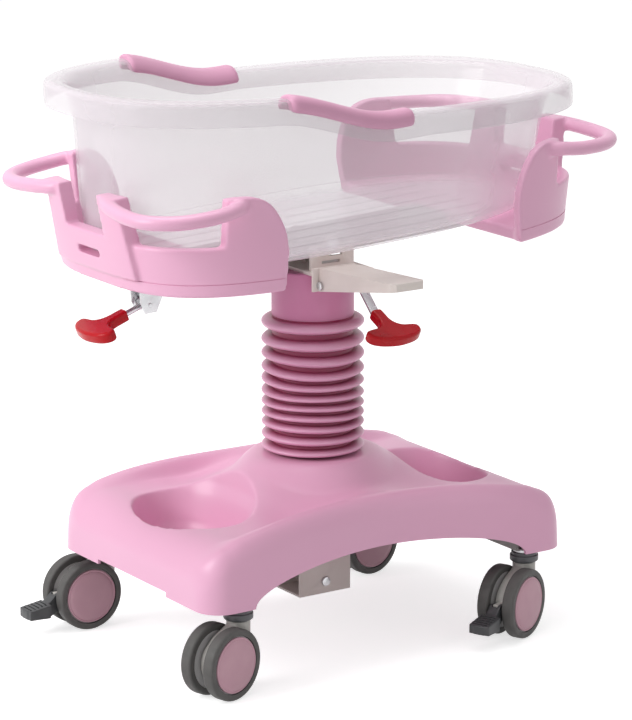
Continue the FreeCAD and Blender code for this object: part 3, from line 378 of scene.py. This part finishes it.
def folded_vinyl():
    """Flexible sleeve, shiny: its own pink is lightened on the crests by a painted highlight and
    darkened to deep crimson down in its folds by painted shade.
    """
    made = bpy.data.materials.new("bellows_vinyl_painted_fold_shade")
    made.use_nodes = True
    tree = made.node_tree
    tree.nodes.clear()
    place = add(tree, "TexCoord").outputs["Object"]
    flat = add(tree, "VectorMath", {0: place, 1: (1, 1, 0)}, operation="MULTIPLY")
    reach = add(tree, "VectorMath", {0: flat.outputs["Vector"]}, operation="LENGTH")
    # Painted shade and highlight: the colour runs from deep crimson at the fold roots to pale at
    # the crest tips, set by distance from the axis.
    crest = add(tree, "MapRange", {"Value": reach.outputs["Value"], "From Min": 0.059,
                                   "From Max": 0.0725})
    drift = add(tree, "TexNoise", {"Vector": place, "Scale": 24.0, "Detail": 3})
    # Crest colour: the sleeve's own pink, lightened by a painted highlight. The deep crimson in
    # the folds below is painted shade.
    pale = add(tree, "MixRGB", {"Fac": drift.outputs["Fac"], "Color1": colour("#E8B0CC"),
                                "Color2": colour("#DFA0C0")})
    tint = add(tree, "MixRGB", {"Fac": crest.outputs["Result"], "Color1": colour("#9A2455"),
                                "Color2": pale.outputs["Color"]})
    grain = add(tree, "TexNoise", {"Vector": place, "Scale": 800.0, "Detail": 2})
    relief = add(tree, "Bump", {"Height": grain.outputs["Fac"], "Strength": 0.4,
                                "Distance": 0.00003})
    gloss = add(tree, "MapRange", {"Value": drift.outputs["Fac"], "To Min": 0.26,
                                   "To Max": 0.38})
    body = add(tree, "BsdfPrincipled", {"Base Color": tint.outputs["Color"],
                                        "Roughness": gloss.outputs["Result"],
                                        "Normal": relief.outputs["Normal"]})
    add(tree, "OutputMaterial", {"Surface": body.outputs["BSDF"]})
    return made


FOLDED_VINYL = folded_vinyl()


def basin_plastic():
    """Drawn polycarbonate: clear with a faint milky haze, denser where it is seen edge on."""
    made = bpy.data.materials.new("clear_polycarbonate_basin")
    made.use_nodes = True
    tree = made.node_tree
    tree.nodes.clear()
    place = add(tree, "TexCoord").outputs["Object"]
    drift = add(tree, "TexNoise", {"Vector": place, "Scale": 9.0, "Detail": 3})
    tint = add(tree, "MixRGB", {"Fac": drift.outputs["Fac"], "Color1": colour("#ECE4E9"),
                                "Color2": colour("#E5DDE3")})
    edge = add(tree, "LayerWeight", {"Blend": 0.45})
    haze = add(tree, "MapRange", {"Value": edge.outputs["Facing"], "From Min": 0.0,
                                  "From Max": 1.0, "To Min": 0.16, "To Max": 0.56})
    gloss = add(tree, "MapRange", {"Value": drift.outputs["Fac"], "From Min": 0.3,
                                   "From Max": 0.7, "To Min": 0.08, "To Max": 0.14})
    ripple = add(tree, "TexNoise", {"Vector": place, "Scale": 22.0, "Detail": 1})
    relief = add(tree, "Bump", {"Height": ripple.outputs["Fac"], "Strength": 0.3,
                                "Distance": 0.001})
    body = add(tree, "BsdfPrincipled", {"Base Color": tint.outputs["Color"],
                                        "Roughness": gloss.outputs["Result"],
                                        "Alpha": haze.outputs["Result"],
                                        "Normal": relief.outputs["Normal"]})
    body.inputs["IOR"].default_value = 1.5
    add(tree, "OutputMaterial", {"Surface": body.outputs["BSDF"]})
    return made


CLEAR_PC = basin_plastic()


# ---------------------------------------------------------------- moulded base

HALF_LENGTH = 302
HALF_WIDTH = 208
CORNER = 36
END_ROUND = 60
COVER_WALL = 4.0
COLUMN_SEAT = 262
WELL_PLACE = 205
WELL_FLOOR = 148
SKIRT_FOOT = 118
ARCH_HALF = 228
ARCH_RISE = 46


def cover_width(x):
    """Half width of the base at a station: a waist, two lobes and round corners."""
    start = HALF_LENGTH - CORNER
    if abs(x) <= start:
        return HALF_WIDTH - 23 * (1 - smooth_step(abs(x) / start))
    return HALF_WIDTH - CORNER + math.sqrt(max(0.0, CORNER ** 2 - (abs(x) - start) ** 2))


def end_drop(x):
    """How far the top lines fall as they round over into the end walls."""
    return 54 * quarter_drop((abs(x) - HALF_LENGTH + END_ROUND) / END_ROUND)


def cover_crest(x):
    return 232 - 24 * (min(abs(x), 260) / 260) ** 3


def deck_height(x, y):
    """The deck between the ridges: level at the wells, swelling up to the column."""
    groove = 206 + 22 * (1 - smooth_step(abs(x) / 140))
    middle = 206 + 54 * (1 - smooth_step((abs(x) - 70) / 150))
    share = min(1.0, abs(y) / (cover_width(x) - 54))
    deck = middle + (groove - middle) * smooth_step(share)
    seat = 1 - smooth_step((math.hypot(x, y) - 80) / 38)
    return deck + (COLUMN_SEAT - deck) * seat


def cover_height(x, depth):
    """Height of the moulding at a depth inwards from its long side."""
    crest = cover_crest(x)
    if depth < 26:
        return crest - 36 * quarter_drop((26 - max(depth, 4)) / 22) - end_drop(x)
    deck = deck_height(x, cover_width(x) - depth)
    return crest + (deck - crest) * smooth_step((depth - 28) / 26) - end_drop(x)


def cover_section(station, inset, low):
    """One closed cross-section of the base at a station along X."""
    width = cover_width(station)
    depths = [4, 4.3, 5, 6.2, 8, 10.5, 13.5, 17, 21, 26] + [26 + 28 * k / 12 for k in range(1, 13)]
    depths += [54 + (width - 54) * k / 30 for k in range(1, 31)]
    foot = cover_height(station, 4) - inset
    half = [(width - inset - 4 * k / 8, low + (foot - low) * k / 8) for k in range(8)]
    for depth in depths:
        inward = inset * (1 - 1.6 * smooth_step((depth - 14) / 22))
        fade = 1 - smooth_step((depth - 54) / 30)
        half.append((width - depth - inward * fade, cover_height(station, depth) - inset))
    half = [(max(0.0, y), max(low, z)) for y, z in half]
    x = station * (HALF_LENGTH - inset) / HALF_LENGTH
    return [(x, -y, z) for y, z in half] + [(x, y, z) for y, z in half[-2::-1]]


def cover_body(name, inset=0.0, low=90.0):
    """The whole outline of the base as one skin, moved in by a wall's thickness."""
    reach = HALF_LENGTH - END_ROUND
    half = [reach * k / 56 for k in range(57)]
    half += [reach + END_ROUND * math.sin(math.pi / 2 * k / 22) for k in range(1, 23)]
    stations = [-x for x in half[:0:-1]] + half
    return loft(name, [cover_section(x, inset, low) for x in stations])


def well_tool(name, grow, floor, side):
    """The hollow of one oval well: a dished floor, leaning walls and a flared mouth."""
    steps = ((44, 74, 0), (51, 81, 1.5), (56, 86, 6), (60, 90, 14), (64, 94, 30), (68, 98, 46),
             (71, 101, 56), (74, 104, 62), (79, 109, 72), (83, 113, 92), (85, 115, 130))
    rings = [oval(a + grow, b + grow, 2.2, floor + rise, 0, 128) for a, b, rise in steps]
    return placed(loft(name, rings), shift(side * WELL_PLACE, 0, 0))


def skirt_arch(name, start):
    """The long arch under one side of the skirt, clear of the wells."""
    outline = [(-ARCH_HALF, start, SKIRT_FOOT - 18)]
    for k in range(61):
        x = -ARCH_HALF * math.cos(math.pi * k / 60)
        rise = ARCH_RISE * math.sqrt(max(0.0, 1 - (x / ARCH_HALF) ** 2))
        outline.append((x, start, SKIRT_FOOT + rise))
    outline.append((ARCH_HALF, start, SKIRT_FOOT - 18))
    return extruded(name, outline, (0, 135, 0))


def moulded_base():
    """The pink base: one moulding, hollow underneath, with two wells."""
    cover = cover_body("base_moulding")
    for side in (-1, 1):
        carved(cover, well_tool("well_mouth", 0, WELL_FLOOR, side))
    softened(cover, 2.6, 7)
    hollow = cover_body("base_hollow", COVER_WALL, 50.0)
    for side in (-1, 1):
        carved(hollow, well_tool("well_cup", COVER_WALL, WELL_FLOOR - COVER_WALL, side))
    carved(cover, hollow)
    carved(cover, rod("throat", (0, 0, 220), (0, 0, 1), 50, 80))
    carved(cover, block("level", (-320, -260, 60), (320, 260, SKIRT_FOOT)),
           skirt_arch("front_arch", -260), skirt_arch("back_arch", 125))
    carved(cover, block("left_step", (-320, -92, 60), (-290, 92, 125)),
           block("right_step", (290, -92, 60), (320, 92, 125)))
    return dressed(cover, "base", PINK_ABS, "pink_moulding", "base_cover")


# ---------------------------------------------------------------- end holders

HOLDER_BOTTOM = 566
HOLDER_WALL = 14
FOOT_SHIFT = 10
HOLDER_RINGS = ((0, 347, 232), (18, 349, 233), (38, 352, 234), (84, 359, 238),
                (134, 367, 243), (154, 370, 245))
RAIL_PATH = ((238, 214, 4), (262, 226, 3), (289, 230, 0), (319, 226, -2), (345, 216, -3),
             (364, 200, -3), (376, 179, -3), (381, 151, -2), (380, 119, 0), (376, 91, 2),
             (369, 70, 3), (361, 56, 4))


def holder_form(name, inset):
    """Solid inside a holder's outer wall, moved in by an inset."""
    rows = through([(rise, a, b) for rise, a, b in HOLDER_RINGS], 3)
    rings = [oval(a - inset, b - inset, 3.3, HOLDER_BOTTOM + rise) for rise, a, b in rows]
    return loft(name, rings)


def holder_side():
    """Side view of a holder: leaning front edge, crest and the level rail behind it."""
    front = 190
    crest = through([(front, 556), (front - 6, 610), (front - 4, 640), (front + 6, 668),
                     (front + 22, 690), (front + 42, 700), (front + 65, 702),
                     (front + 90, 700), (front + 165, 699), (front + 260, 699)], 6)
    outline = [(x, -300, z) for x, z in crest] + [(450, -300, 540), (front, -300, 540)]
    return extruded("holder_side", outline, (0, 600, 0))


def holder_rail(side):
    """The oval handle rail that bulges out over one window, tapered into wing and post."""
    line = through([(x, side * y, 686 + rise) for x, y, rise in RAIL_PATH], 8)
    rings = []
    for index, point in enumerate(line):
        along = (line[min(index + 1, len(line) - 1)] - line[max(index - 1, 0)]).normalized()
        across = along.cross(Vector((0, 0, 1))).normalized()
        tip = 0.55 + 0.45 * smooth_step(min(index, len(line) - 1 - index) / 9)
        ring = []
        for k in range(28):
            angle = 2 * math.pi * k / 28
            ring.append(point + across * 11.5 * tip * math.cos(angle)
                        + Vector((0, 0, 10 * math.sin(angle))))
        rings.append(ring)
    return loft("rail", rings)


def end_holder():
    """One U-shaped moulding: leaning wall, two posts, rails, windows, slot and floor."""
    wall = holder_form("holder", 0)
    carved(wall, holder_form("inside", HOLDER_WALL))
    posts = holder_form("posts", -8)
    carved(posts, holder_form("inside", HOLDER_WALL))
    reach = extruded("post_reach", [(300, -104, 585), (300, 104, 585), (300, 92, 714),
                                    (300, -92, 714)], (160, 0, 0))
    carved(posts, reach, how="INTERSECT")
    side = holder_side()
    carved(wall, side, how="INTERSECT", keep=True)
    carved(posts, side, how="INTERSECT")
    carved(wall, block("window", (268, 95, 634), (470, 300, 720)),
           block("window", (268, -300, 634), (470, -95, 720)))
    floor = holder_form("floor", 0)
    carved(floor, block("floor_reach", (190, -300, 578), (460, 300, 584)), how="INTERSECT")
    sill = holder_form("sill", 0)
    carved(sill, block("sill_reach", (190, -300, 566), (195, 300, 584)), how="INTERSECT")
    holder = joined(wall, posts, floor, sill, holder_rail(1), holder_rail(-1))
    softened(holder, 2.0, 2)
    carved(holder, block("post_gap", (300, -50, 641), (470, 50, 720)),
           block("slot", (330, -28, 606), (470, 28, 616)),
           block("passage", (180, -42, 540), (200, 42, 578)))
    softened(holder, 2.0, 7, 0.7)
    seam = holder_form("seam", -10)
    carved(seam, block("seam_reach", (150, -300, 583.7), (460, 300, 585.1)), how="INTERSECT")
    carved(seam, holder_form("seam_core", 0.9))
    return carved(holder, seam)


def end_holders():
    right = end_holder()
    right.name = "right_end_holder"
    left = mirrored(right, "left_end_holder")
    placed(right, shift(FOOT_SHIFT, 0, 0))
    for name, piece in (("right", right), ("left", left)):
        placed(piece, LEAN)
        dressed(piece, "cradle", PINK_ABS, "pink_moulding", "end_holder_" + name, angle=60)


# ---------------------------------------------------------------- basin

RIM_SHIFT = 12


def rim_height(x):
    """Height of the rim: high at the head end, a dip, then falling gently to the foot."""
    station = x - RIM_SHIFT
    height = 812 - 35 * smooth_step((station + 195) / 165)
    height += 3 * smooth_step((station + 30) / 60)
    return height - math.tan(math.radians(LEAN_DEGREES)) * station


def on_rim(drop):
    return lambda x: rim_height(x) - drop


def basin():
    """Thin clear tub: outside up, over the rolled lip and down the inside."""
    low = [(300, 134, 584.2, 0), (318, 152, 584.2, 0), (326, 160, 586, 0), (332, 166, 591, 0.4),
           (334.6, 169, 599, 0.8), (336.6, 171.4, 600.6, 1), (340, 177.5, 630, 2),
           (344, 183.5, 660, 3)]
    high = [(346, 204, 50, 7), (352, 204.6, 34, 8.5), (358, 205, 22, 10),
            (361, 208, 12, 11.5), (366, 213, 6, 12), (374, 222, 4.5, 12), (380, 228, 7, 12),
            (383, 231, 13, 12), (383.5, 231.5, 32, 12), (385.5, 233.5, 34, 12),
            (388, 236, 32, 12), (388, 236, 10, 12), (386.5, 234.5, 4, 12), (382, 230, 0.8, 12),
            (375, 223, 0, 12), (366, 213, 1.2, 12), (358, 205, 6, 11.6), (353.5, 200, 15, 11),
            (348, 200, 30, 9), (342, 200, 48, 7)]
    inner = [(340, 179.5, 660, 3), (336, 173.5, 632, 2), (332, 167, 604, 1),
             (327.5, 161.5, 595, 0.3), (320, 154, 590, 0), (312, 146, 588.5, 0),
             (295, 129, 588.5, 0)]
    rings = [oval(a, b, 2.6, z, c) for a, b, z, c in through(low, 3)]
    rings += [oval(a, b, 2.6, on_rim(drop), c) for a, b, drop, c in through(high, 3)]
    rings += [oval(a, b, 2.6, z, c) for a, b, z, c in through(inner, 3)]
    tub = loft("clear_basin", rings)
    for y in range(-100, 101, 40):
        carved(tub, block("floor_rib", (-250, y - 2.5, 587.5), (250, y + 2.5, 590)), how="UNION")
    placed(tub, LEAN)
    return dressed(tub, "basin_tub", CLEAR_PC, "clear_plastic", "basin", angle=50)


def rim_strip(side):
    """Padded edging clipped over the lip where the rim dips."""
    shape = through([(-2, 17), (3, 15), (4.5, 4), (-2, -4), (-14, -6), (-26, -3), (-35, 5),
                     (-38, 14), (-34, 17), (-26, 6.5), (-13, 2.6), (-5, 4), (-2, 9.5)], 3,
                    closed=True)
    middle = sum((Vector(p) for p in shape), Vector((0, 0))) / len(shape)
    stations = [(-181, 0.55), (-180.2, 0.75), (-178.5, 0.9), (-175, 1.0)]
    stations += [(-175 + 175 * k / 36, 1.0) for k in range(1, 37)]
    stations += [(3.5, 0.9), (5.2, 0.75), (6, 0.55)]
    rings = []
    for x, scale in stations:
        ring = []
        for point in shape:
            offset, drop = middle + (point - middle) * scale
            y = (236 + offset) * (1 - (abs(x) / (388 + offset)) ** 2.6) ** (1 / 2.6)
            ring.append((x + RIM_SHIFT, side * y, rim_height(x + RIM_SHIFT) - drop))
        rings.append(ring)
    name, node = ("front", "rim_insert_front") if side < 0 else ("back", "rim_insert_back")
    strip = placed(loft(name + "_rim_strip", rings), LEAN)
    return dressed(strip, "basin_tub", PINK_EDGING, "pink_moulding", node, angle=60)


# ---------------------------------------------------------------- column

def bellows():
    """Corrugated sleeve: wider rings at the top, tighter below, as it settles under load."""
    spacing = [25.2, 21.3, 21.3, 17.0, 17.0, 14.8, 14.8, 14.8, 17.0, 17.0]
    centres = [450.5]
    for gap in spacing:
        centres.append(centres[-1] - gap)
    centres = centres[::-1]
    edges = [263.0] + [(a + b) / 2 for a, b in zip(centres, centres[1:])] + [462.0]
    outer = []
    for centre, low, high in zip(centres, edges, edges[1:]):
        outer.append((57.5, low + 0.4))
        for k in range(-8, 9):
            angle = math.pi / 2 * k / 8
            half = (high - centre) if k > 0 else (centre - low)
            outer.append((58 + 15 * math.cos(angle), centre + 0.68 * half * math.sin(angle)))
        outer.append((57.5, high - 0.4))
    inner = [(54.5, 461.5), (54.5, 263.5)]
    sleeve = turned("bellows_sleeve", outer + inner, 128)
    for vert in sleeve.data.vertices:
        x, y, z = vert.co / MM
        angle = math.atan2(y, x)
        loose = math.sin(math.pi * min(1, max(0, (z - 262) / 200)))
        lift = 1.8 * math.sin(angle + z / 31) + 0.9 * math.sin(2 * angle - z / 17)
        vert.co.z += lift * loose * MM
    dressed(sleeve, "base", FOLDED_VINYL, "bellows_pink", "bellows", angle=50)
    sleeve.parent = None
    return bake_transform(sleeve)


def collar():
    """Smooth moulded collar over the head of the column."""
    profile = round_profile([(54.5, 460), (58.5, 460), (58.5, 528), (34.2, 528), (34.2, 524),
                             (54.5, 524)], [0.5, 1.5, 3, 0.3, 0.3, 1])
    return dressed(turned("head_collar", profile, 128), "head", PINK_VINYL, "bellows_pink",
                   "column_collar")


# ---------------------------------------------------------------- castors

TRAIL = 36
WHEEL_RADIUS = 50


def wheel_side(piece, side):
    """Takes a shape turned round Z to the wheel's place: axis along Y, out to one side."""
    placed(piece, turn(-90 if side > 0 else 90, "X"))
    return placed(piece, shift(-TRAIL, 0, WHEEL_RADIUS))


def tyre_pair():
    profile = round_profile([(40.5, 11), (50, 11), (50, 29), (40.5, 29)], [0.4, 5.5, 6.5, 1.2],
                            7)
    return [wheel_side(turned("tyre", profile, 96), side) for side in (-1, 1)]


def hub_pair():
    profile = round_profile([(4.1, 11.5), (14, 9.8), (16, 11.5), (40.4, 11.5), (40.4, 26),
                             (4.1, 26)], [0.3, 1, 1, 0.5, 0.3, 0.3])
    return [wheel_side(turned("hub", profile, 72), side) for side in (-1, 1)]


def cap_pair():
    """Slightly domed caps with a fine step inside their edge."""
    profile = [(0, 26.2), (38.9, 26.2), (38.9, 28.4), (38.4, 29.1), (37.2, 29.4), (36.4, 29.0),
               (35.9, 28.8), (34.8, 29.6), (30, 30.2), (20, 30.8), (10, 31.1), (0, 31.2)]
    return [wheel_side(turned("cap", profile, 96), side) for side in (-1, 1)]


def castor_housing(braked):
    """Drum between the wheels, leaning neck and shoulder, in one nylon moulding."""
    drum = rod("drum", (-TRAIL, -10, WHEEL_RADIUS), (0, 1, 0), 30, 20, 64)
    neck = rod("neck", (0, 0, 58), (0, 0, 1), 16.5, 43, 64)
    shoulder = extruded("shoulder", [(-58, -9, 70), (-44, -9, 84), (-16, -9, 96), (4, -9, 98),
                                     (12, -9, 60), (-8, -9, 50)], (0, 18, 0))
    housing = joined(drum, neck, shoulder)
    if braked:
        joined(housing, block("ear", (-82, -4, 44), (-60, 4, 56)))
    softened(housing, 1.3, 5)
    return carved(housing, rod("axle_bore", (-TRAIL, -12, WHEEL_RADIUS), (0, 1, 0), 4.05, 24))


def swivel_ring():
    profile = round_profile([(6.1, 101), (17, 101), (20.5, 103), (20.5, 111), (18.5, 112),
                             (18.5, 116), (6.1, 116)], [0.3, 1.0, 1.5, 1.2, 0.6, 0.8, 0.3])
    return turned("swivel_ring", profile, 72)


def brake_pedal():
    """Wedge pedal behind the wheels with a ribbed tread."""
    wedge = extruded("pedal", [(-70, -8.5, 36), (-70, -8.5, 56), (-82, -8.5, 56),
                               (-94, -8.5, 45), (-130, -8.5, 38), (-130, -8.5, 25),
                               (-92, -8.5, 23)], (0, 17, 0))
    tread = extruded("tread", [(-94, -16, 43.5), (-129, -16, 38.5), (-129, -16, 25),
                               (-96, -16, 23.5)], (0, 32, 0))
    pedal = softened(joined(wedge, tread), 1.2, 5)
    for step in range(5):
        x = -101 - step * 6
        carved(pedal, block("rib", (x - 1.0, -12, 39.8 + (x + 101) * 0.14), (x + 1.0, 12, 60)))
    return carved(pedal, block("slot", (-84.5, -4.3, 30), (-64, 4.3, 74)))


def castors():
    """Four castors from one set of mouldings, each turned as it stands."""
    shapes = {"tyres": joined(*tyre_pair()), "wheel_hubs": joined(*hub_pair()),
              "hub_caps": joined(*cap_pair()), "castor_fork": castor_housing(False),
              "swivel_ring": swivel_ring()}
    braked_fork = castor_housing(True)
    pedal = brake_pedal()
    looks = {"tyres": (GREY_RUBBER, "grey_tyre", "wheel_"),
             "wheel_hubs": (HUB_GREY, "hub_plastic", "wheel_"),
             "hub_caps": (PINK_PP, "cap_pink", "wheel_"),
             "castor_fork": (CASTOR_NYLON, "castor_plastic", "castor_"),
             "swivel_ring": (ACETAL_GREY, "grey_plastic", "castor_")}
    for corner, (x, y, yaw) in {"left_front": (-242, -182, 16), "left_back": (-242, 182, 0),
                                "right_front": (242, -182, 24),
                                "right_back": (242, 182, 8)}.items():
        stand = shift(x, y, 0) @ turn(yaw, "Z")
        braked = corner in ("left_back", "right_front")
        for part, shape in shapes.items():
            shape = braked_fork if braked and part == "castor_fork" else shape
            coat, slot, body = looks[part]
            piece = copied(shape, f"{corner}_castor_{part}", stand)
            dressed(piece, body + corner, coat, slot, f"{corner}_{part}")
        if braked:
            piece = copied(pedal, f"{corner}_foot_pedal", stand)
            dressed(piece, "pedal_" + corner, PEDAL_NYLON, "grey_plastic",
                    f"{corner}_brake_pedal")
    for shape in (*shapes.values(), braked_fork, pedal):
        bpy.data.objects.remove(shape)


# ---------------------------------------------------------------- head and levers

def hand_paddle():
    """Folded steel lever: deep and forked at its root, thin and cornered at its tip."""
    side = [(-66, 507), (-66, 540), (-240, 548), (-240, 537)]
    wedge = extruded("paddle_plate", [(-40, y, z) for y, z in side], (80, 0, 0))
    plan = [(-33, -60), (26, -60), (26, -231), (20, -240), (-24, -240), (-29, -233)]
    carved(wedge, extruded("plan", [(x, y, 480) for x, y in plan], (0, 0, 90)),
           how="INTERSECT")
    carved(wedge, block("fork", (-8.5, -81.5, 495), (8.5, -60, 527.5)),
           rod("pin_bore", (-40, -70, 516), (1, 0, 0), 4.06, 80))
    rounded(wedge, 1.8, 3)
    return dressed(wedge, "paddle", POWDER_BEIGE, "beige_steel", "hand_paddle")


def small_metalwork():
    """Folded, turned and welded steel parts, their edges broken as they really are."""
    for node, body, coat, slot, width in (
            ("head_bracket", "head", POWDER_BEIGE, "beige_steel", 0.9),
            ("cradle_spine", "cradle", POWDER_GREY, "chassis_steel", 1.2),
            ("tilt_lever_bracket", "cradle", ZINC_STEEL, "bright_steel", 0.5),
            ("foot_box", "base", POWDER_BEIGE, "beige_steel", 1.0),
            ("foot_box_bolt", "base", ZINC_STEEL, "bright_steel", 0.6),
            ("lift_lever_strap", "lift_lever", ZINC_STEEL, "bright_steel", 0.4)):
        piece = from_part(node, node + "_folded", width)
        dressed(piece, body, coat, slot, node)


KEPT = {
    ZINC_STEEL: ("castor_stems", "lift_gas_rod", "inner_column_tube", "trunnion_pins",
                 "paddle_pin", "lift_lever_pin", "holder_screws", "tilt_gas_rod",
                 "tilt_lever_rod", "left_front_wheel_axle", "left_back_wheel_axle",
                 "right_front_wheel_axle", "right_back_wheel_axle"),
    POWDER_GREY: ("cross_beam_left", "cross_beam_right", "base_spine", "outer_column_tube"),
    POWDER_BLACK: ("lift_gas_cylinder", "tilt_gas_cylinder"),
    ACETAL_GREY: ("upper_guide_bush", "lower_guide_bush"),
    RED_NYLON: ("lift_lever_grip", "tilt_lever_grip"),
}


def kept_solids():
    """Solids whose shape is right as it is only take a finish."""
    for coat, names in KEPT.items():
        for name in names:
            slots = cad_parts[name].material_slots
            for slot in slots:
                slot.material = coat
            if not slots:
                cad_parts[name].data.materials.append(coat)


moulded_base()
end_holders()
basin()
rim_strip(-1)
rim_strip(1)
bellows()
collar()
castors()
hand_paddle()
small_metalwork()
kept_solids()


# ---------------------------------------------------------------- studio

def studio():
    """Pale floor, white surroundings, soft lamps and the camera."""
    scene = bpy.context.scene
    scene.view_settings.view_transform = "Standard"
    bpy.ops.mesh.primitive_plane_add(size=14, location=(0, 0, -0.0005))
    floor = bpy.context.active_object
    floor.name = "studio_floor"
    paper = bpy.data.materials.new("matt_white_paper")
    paper.use_nodes = True
    tree = paper.node_tree
    tree.nodes.clear()
    path = add(tree, "LightPath")
    seen = add(tree, "Math", {0: path.outputs["Is Camera Ray"],
                              1: path.outputs["Is Glossy Ray"]}, operation="MAXIMUM")
    seen = add(tree, "Math", {0: seen.outputs[0], 1: path.outputs["Is Transmission Ray"]},
               operation="MAXIMUM")
    glow = add(tree, "Math", {0: seen.outputs[0], 1: 0.66}, operation="MULTIPLY")
    matt = add(tree, "BsdfDiffuse", {"Color": colour("#E6E6E6")})
    light = add(tree, "Emission", {"Color": colour("#FFFFFF"), "Strength": glow.outputs[0]})
    both = add(tree, "AddShader", {0: matt.outputs[0], 1: light.outputs[0]})
    add(tree, "OutputMaterial", {"Surface": both.outputs[0]})
    floor.data.materials.append(paper)

    world = bpy.data.worlds.new("white_studio")
    scene.world = world
    world.use_nodes = True
    tree = world.node_tree
    tree.nodes.clear()
    path = add(tree, "LightPath")
    seen = add(tree, "Math", {0: path.outputs["Is Camera Ray"],
                              1: path.outputs["Is Glossy Ray"]}, operation="MAXIMUM")
    seen = add(tree, "Math", {0: seen.outputs[0], 1: path.outputs["Is Transmission Ray"]},
               operation="MAXIMUM")
    level = add(tree, "MapRange", {"Value": seen.outputs[0], "To Min": 0.42, "To Max": 1.0})
    sky = add(tree, "Background", {"Color": colour("#FFFFFF"),
                                   "Strength": level.outputs["Result"]})
    add(tree, "OutputWorld", {"Surface": sky.outputs[0]})

    for name, spot, size, power in (("key_lamp", (-3.5, 0.5, 2.2), 2.0, 84),
                                    ("fill_lamp", (1.2, -3.7, 1.4), 2.6, 8),
                                    ("top_lamp", (-0.2, 0.5, 3.4), 2.2, 48)):
        lamp = bpy.data.lights.new(name, "AREA")
        lamp.size = size
        lamp.energy = power
        stand = bpy.data.objects.new(name, lamp)
        scene.collection.objects.link(stand)
        stand.location = spot
        aim = Vector((0, 0, 0.45)) - Vector(spot)
        stand.rotation_euler = aim.to_track_quat("-Z", "Y").to_euler()

    lens = bpy.data.cameras.new("studio_camera")
    lens.lens = 169.26
    lens.sensor_width = 36
    lens.shift_x = 0.00452
    lens.shift_y = -0.0557
    camera = bpy.data.objects.new("studio_camera", lens)
    scene.collection.objects.link(camera)
    camera.location = (-2.578459, -3.880512, 1.533781)
    look = Vector((0.539037, 0.811237, -0.226569))
    camera.rotation_euler = look.to_track_quat("-Z", "Y").to_euler()
    scene.camera = camera


studio()
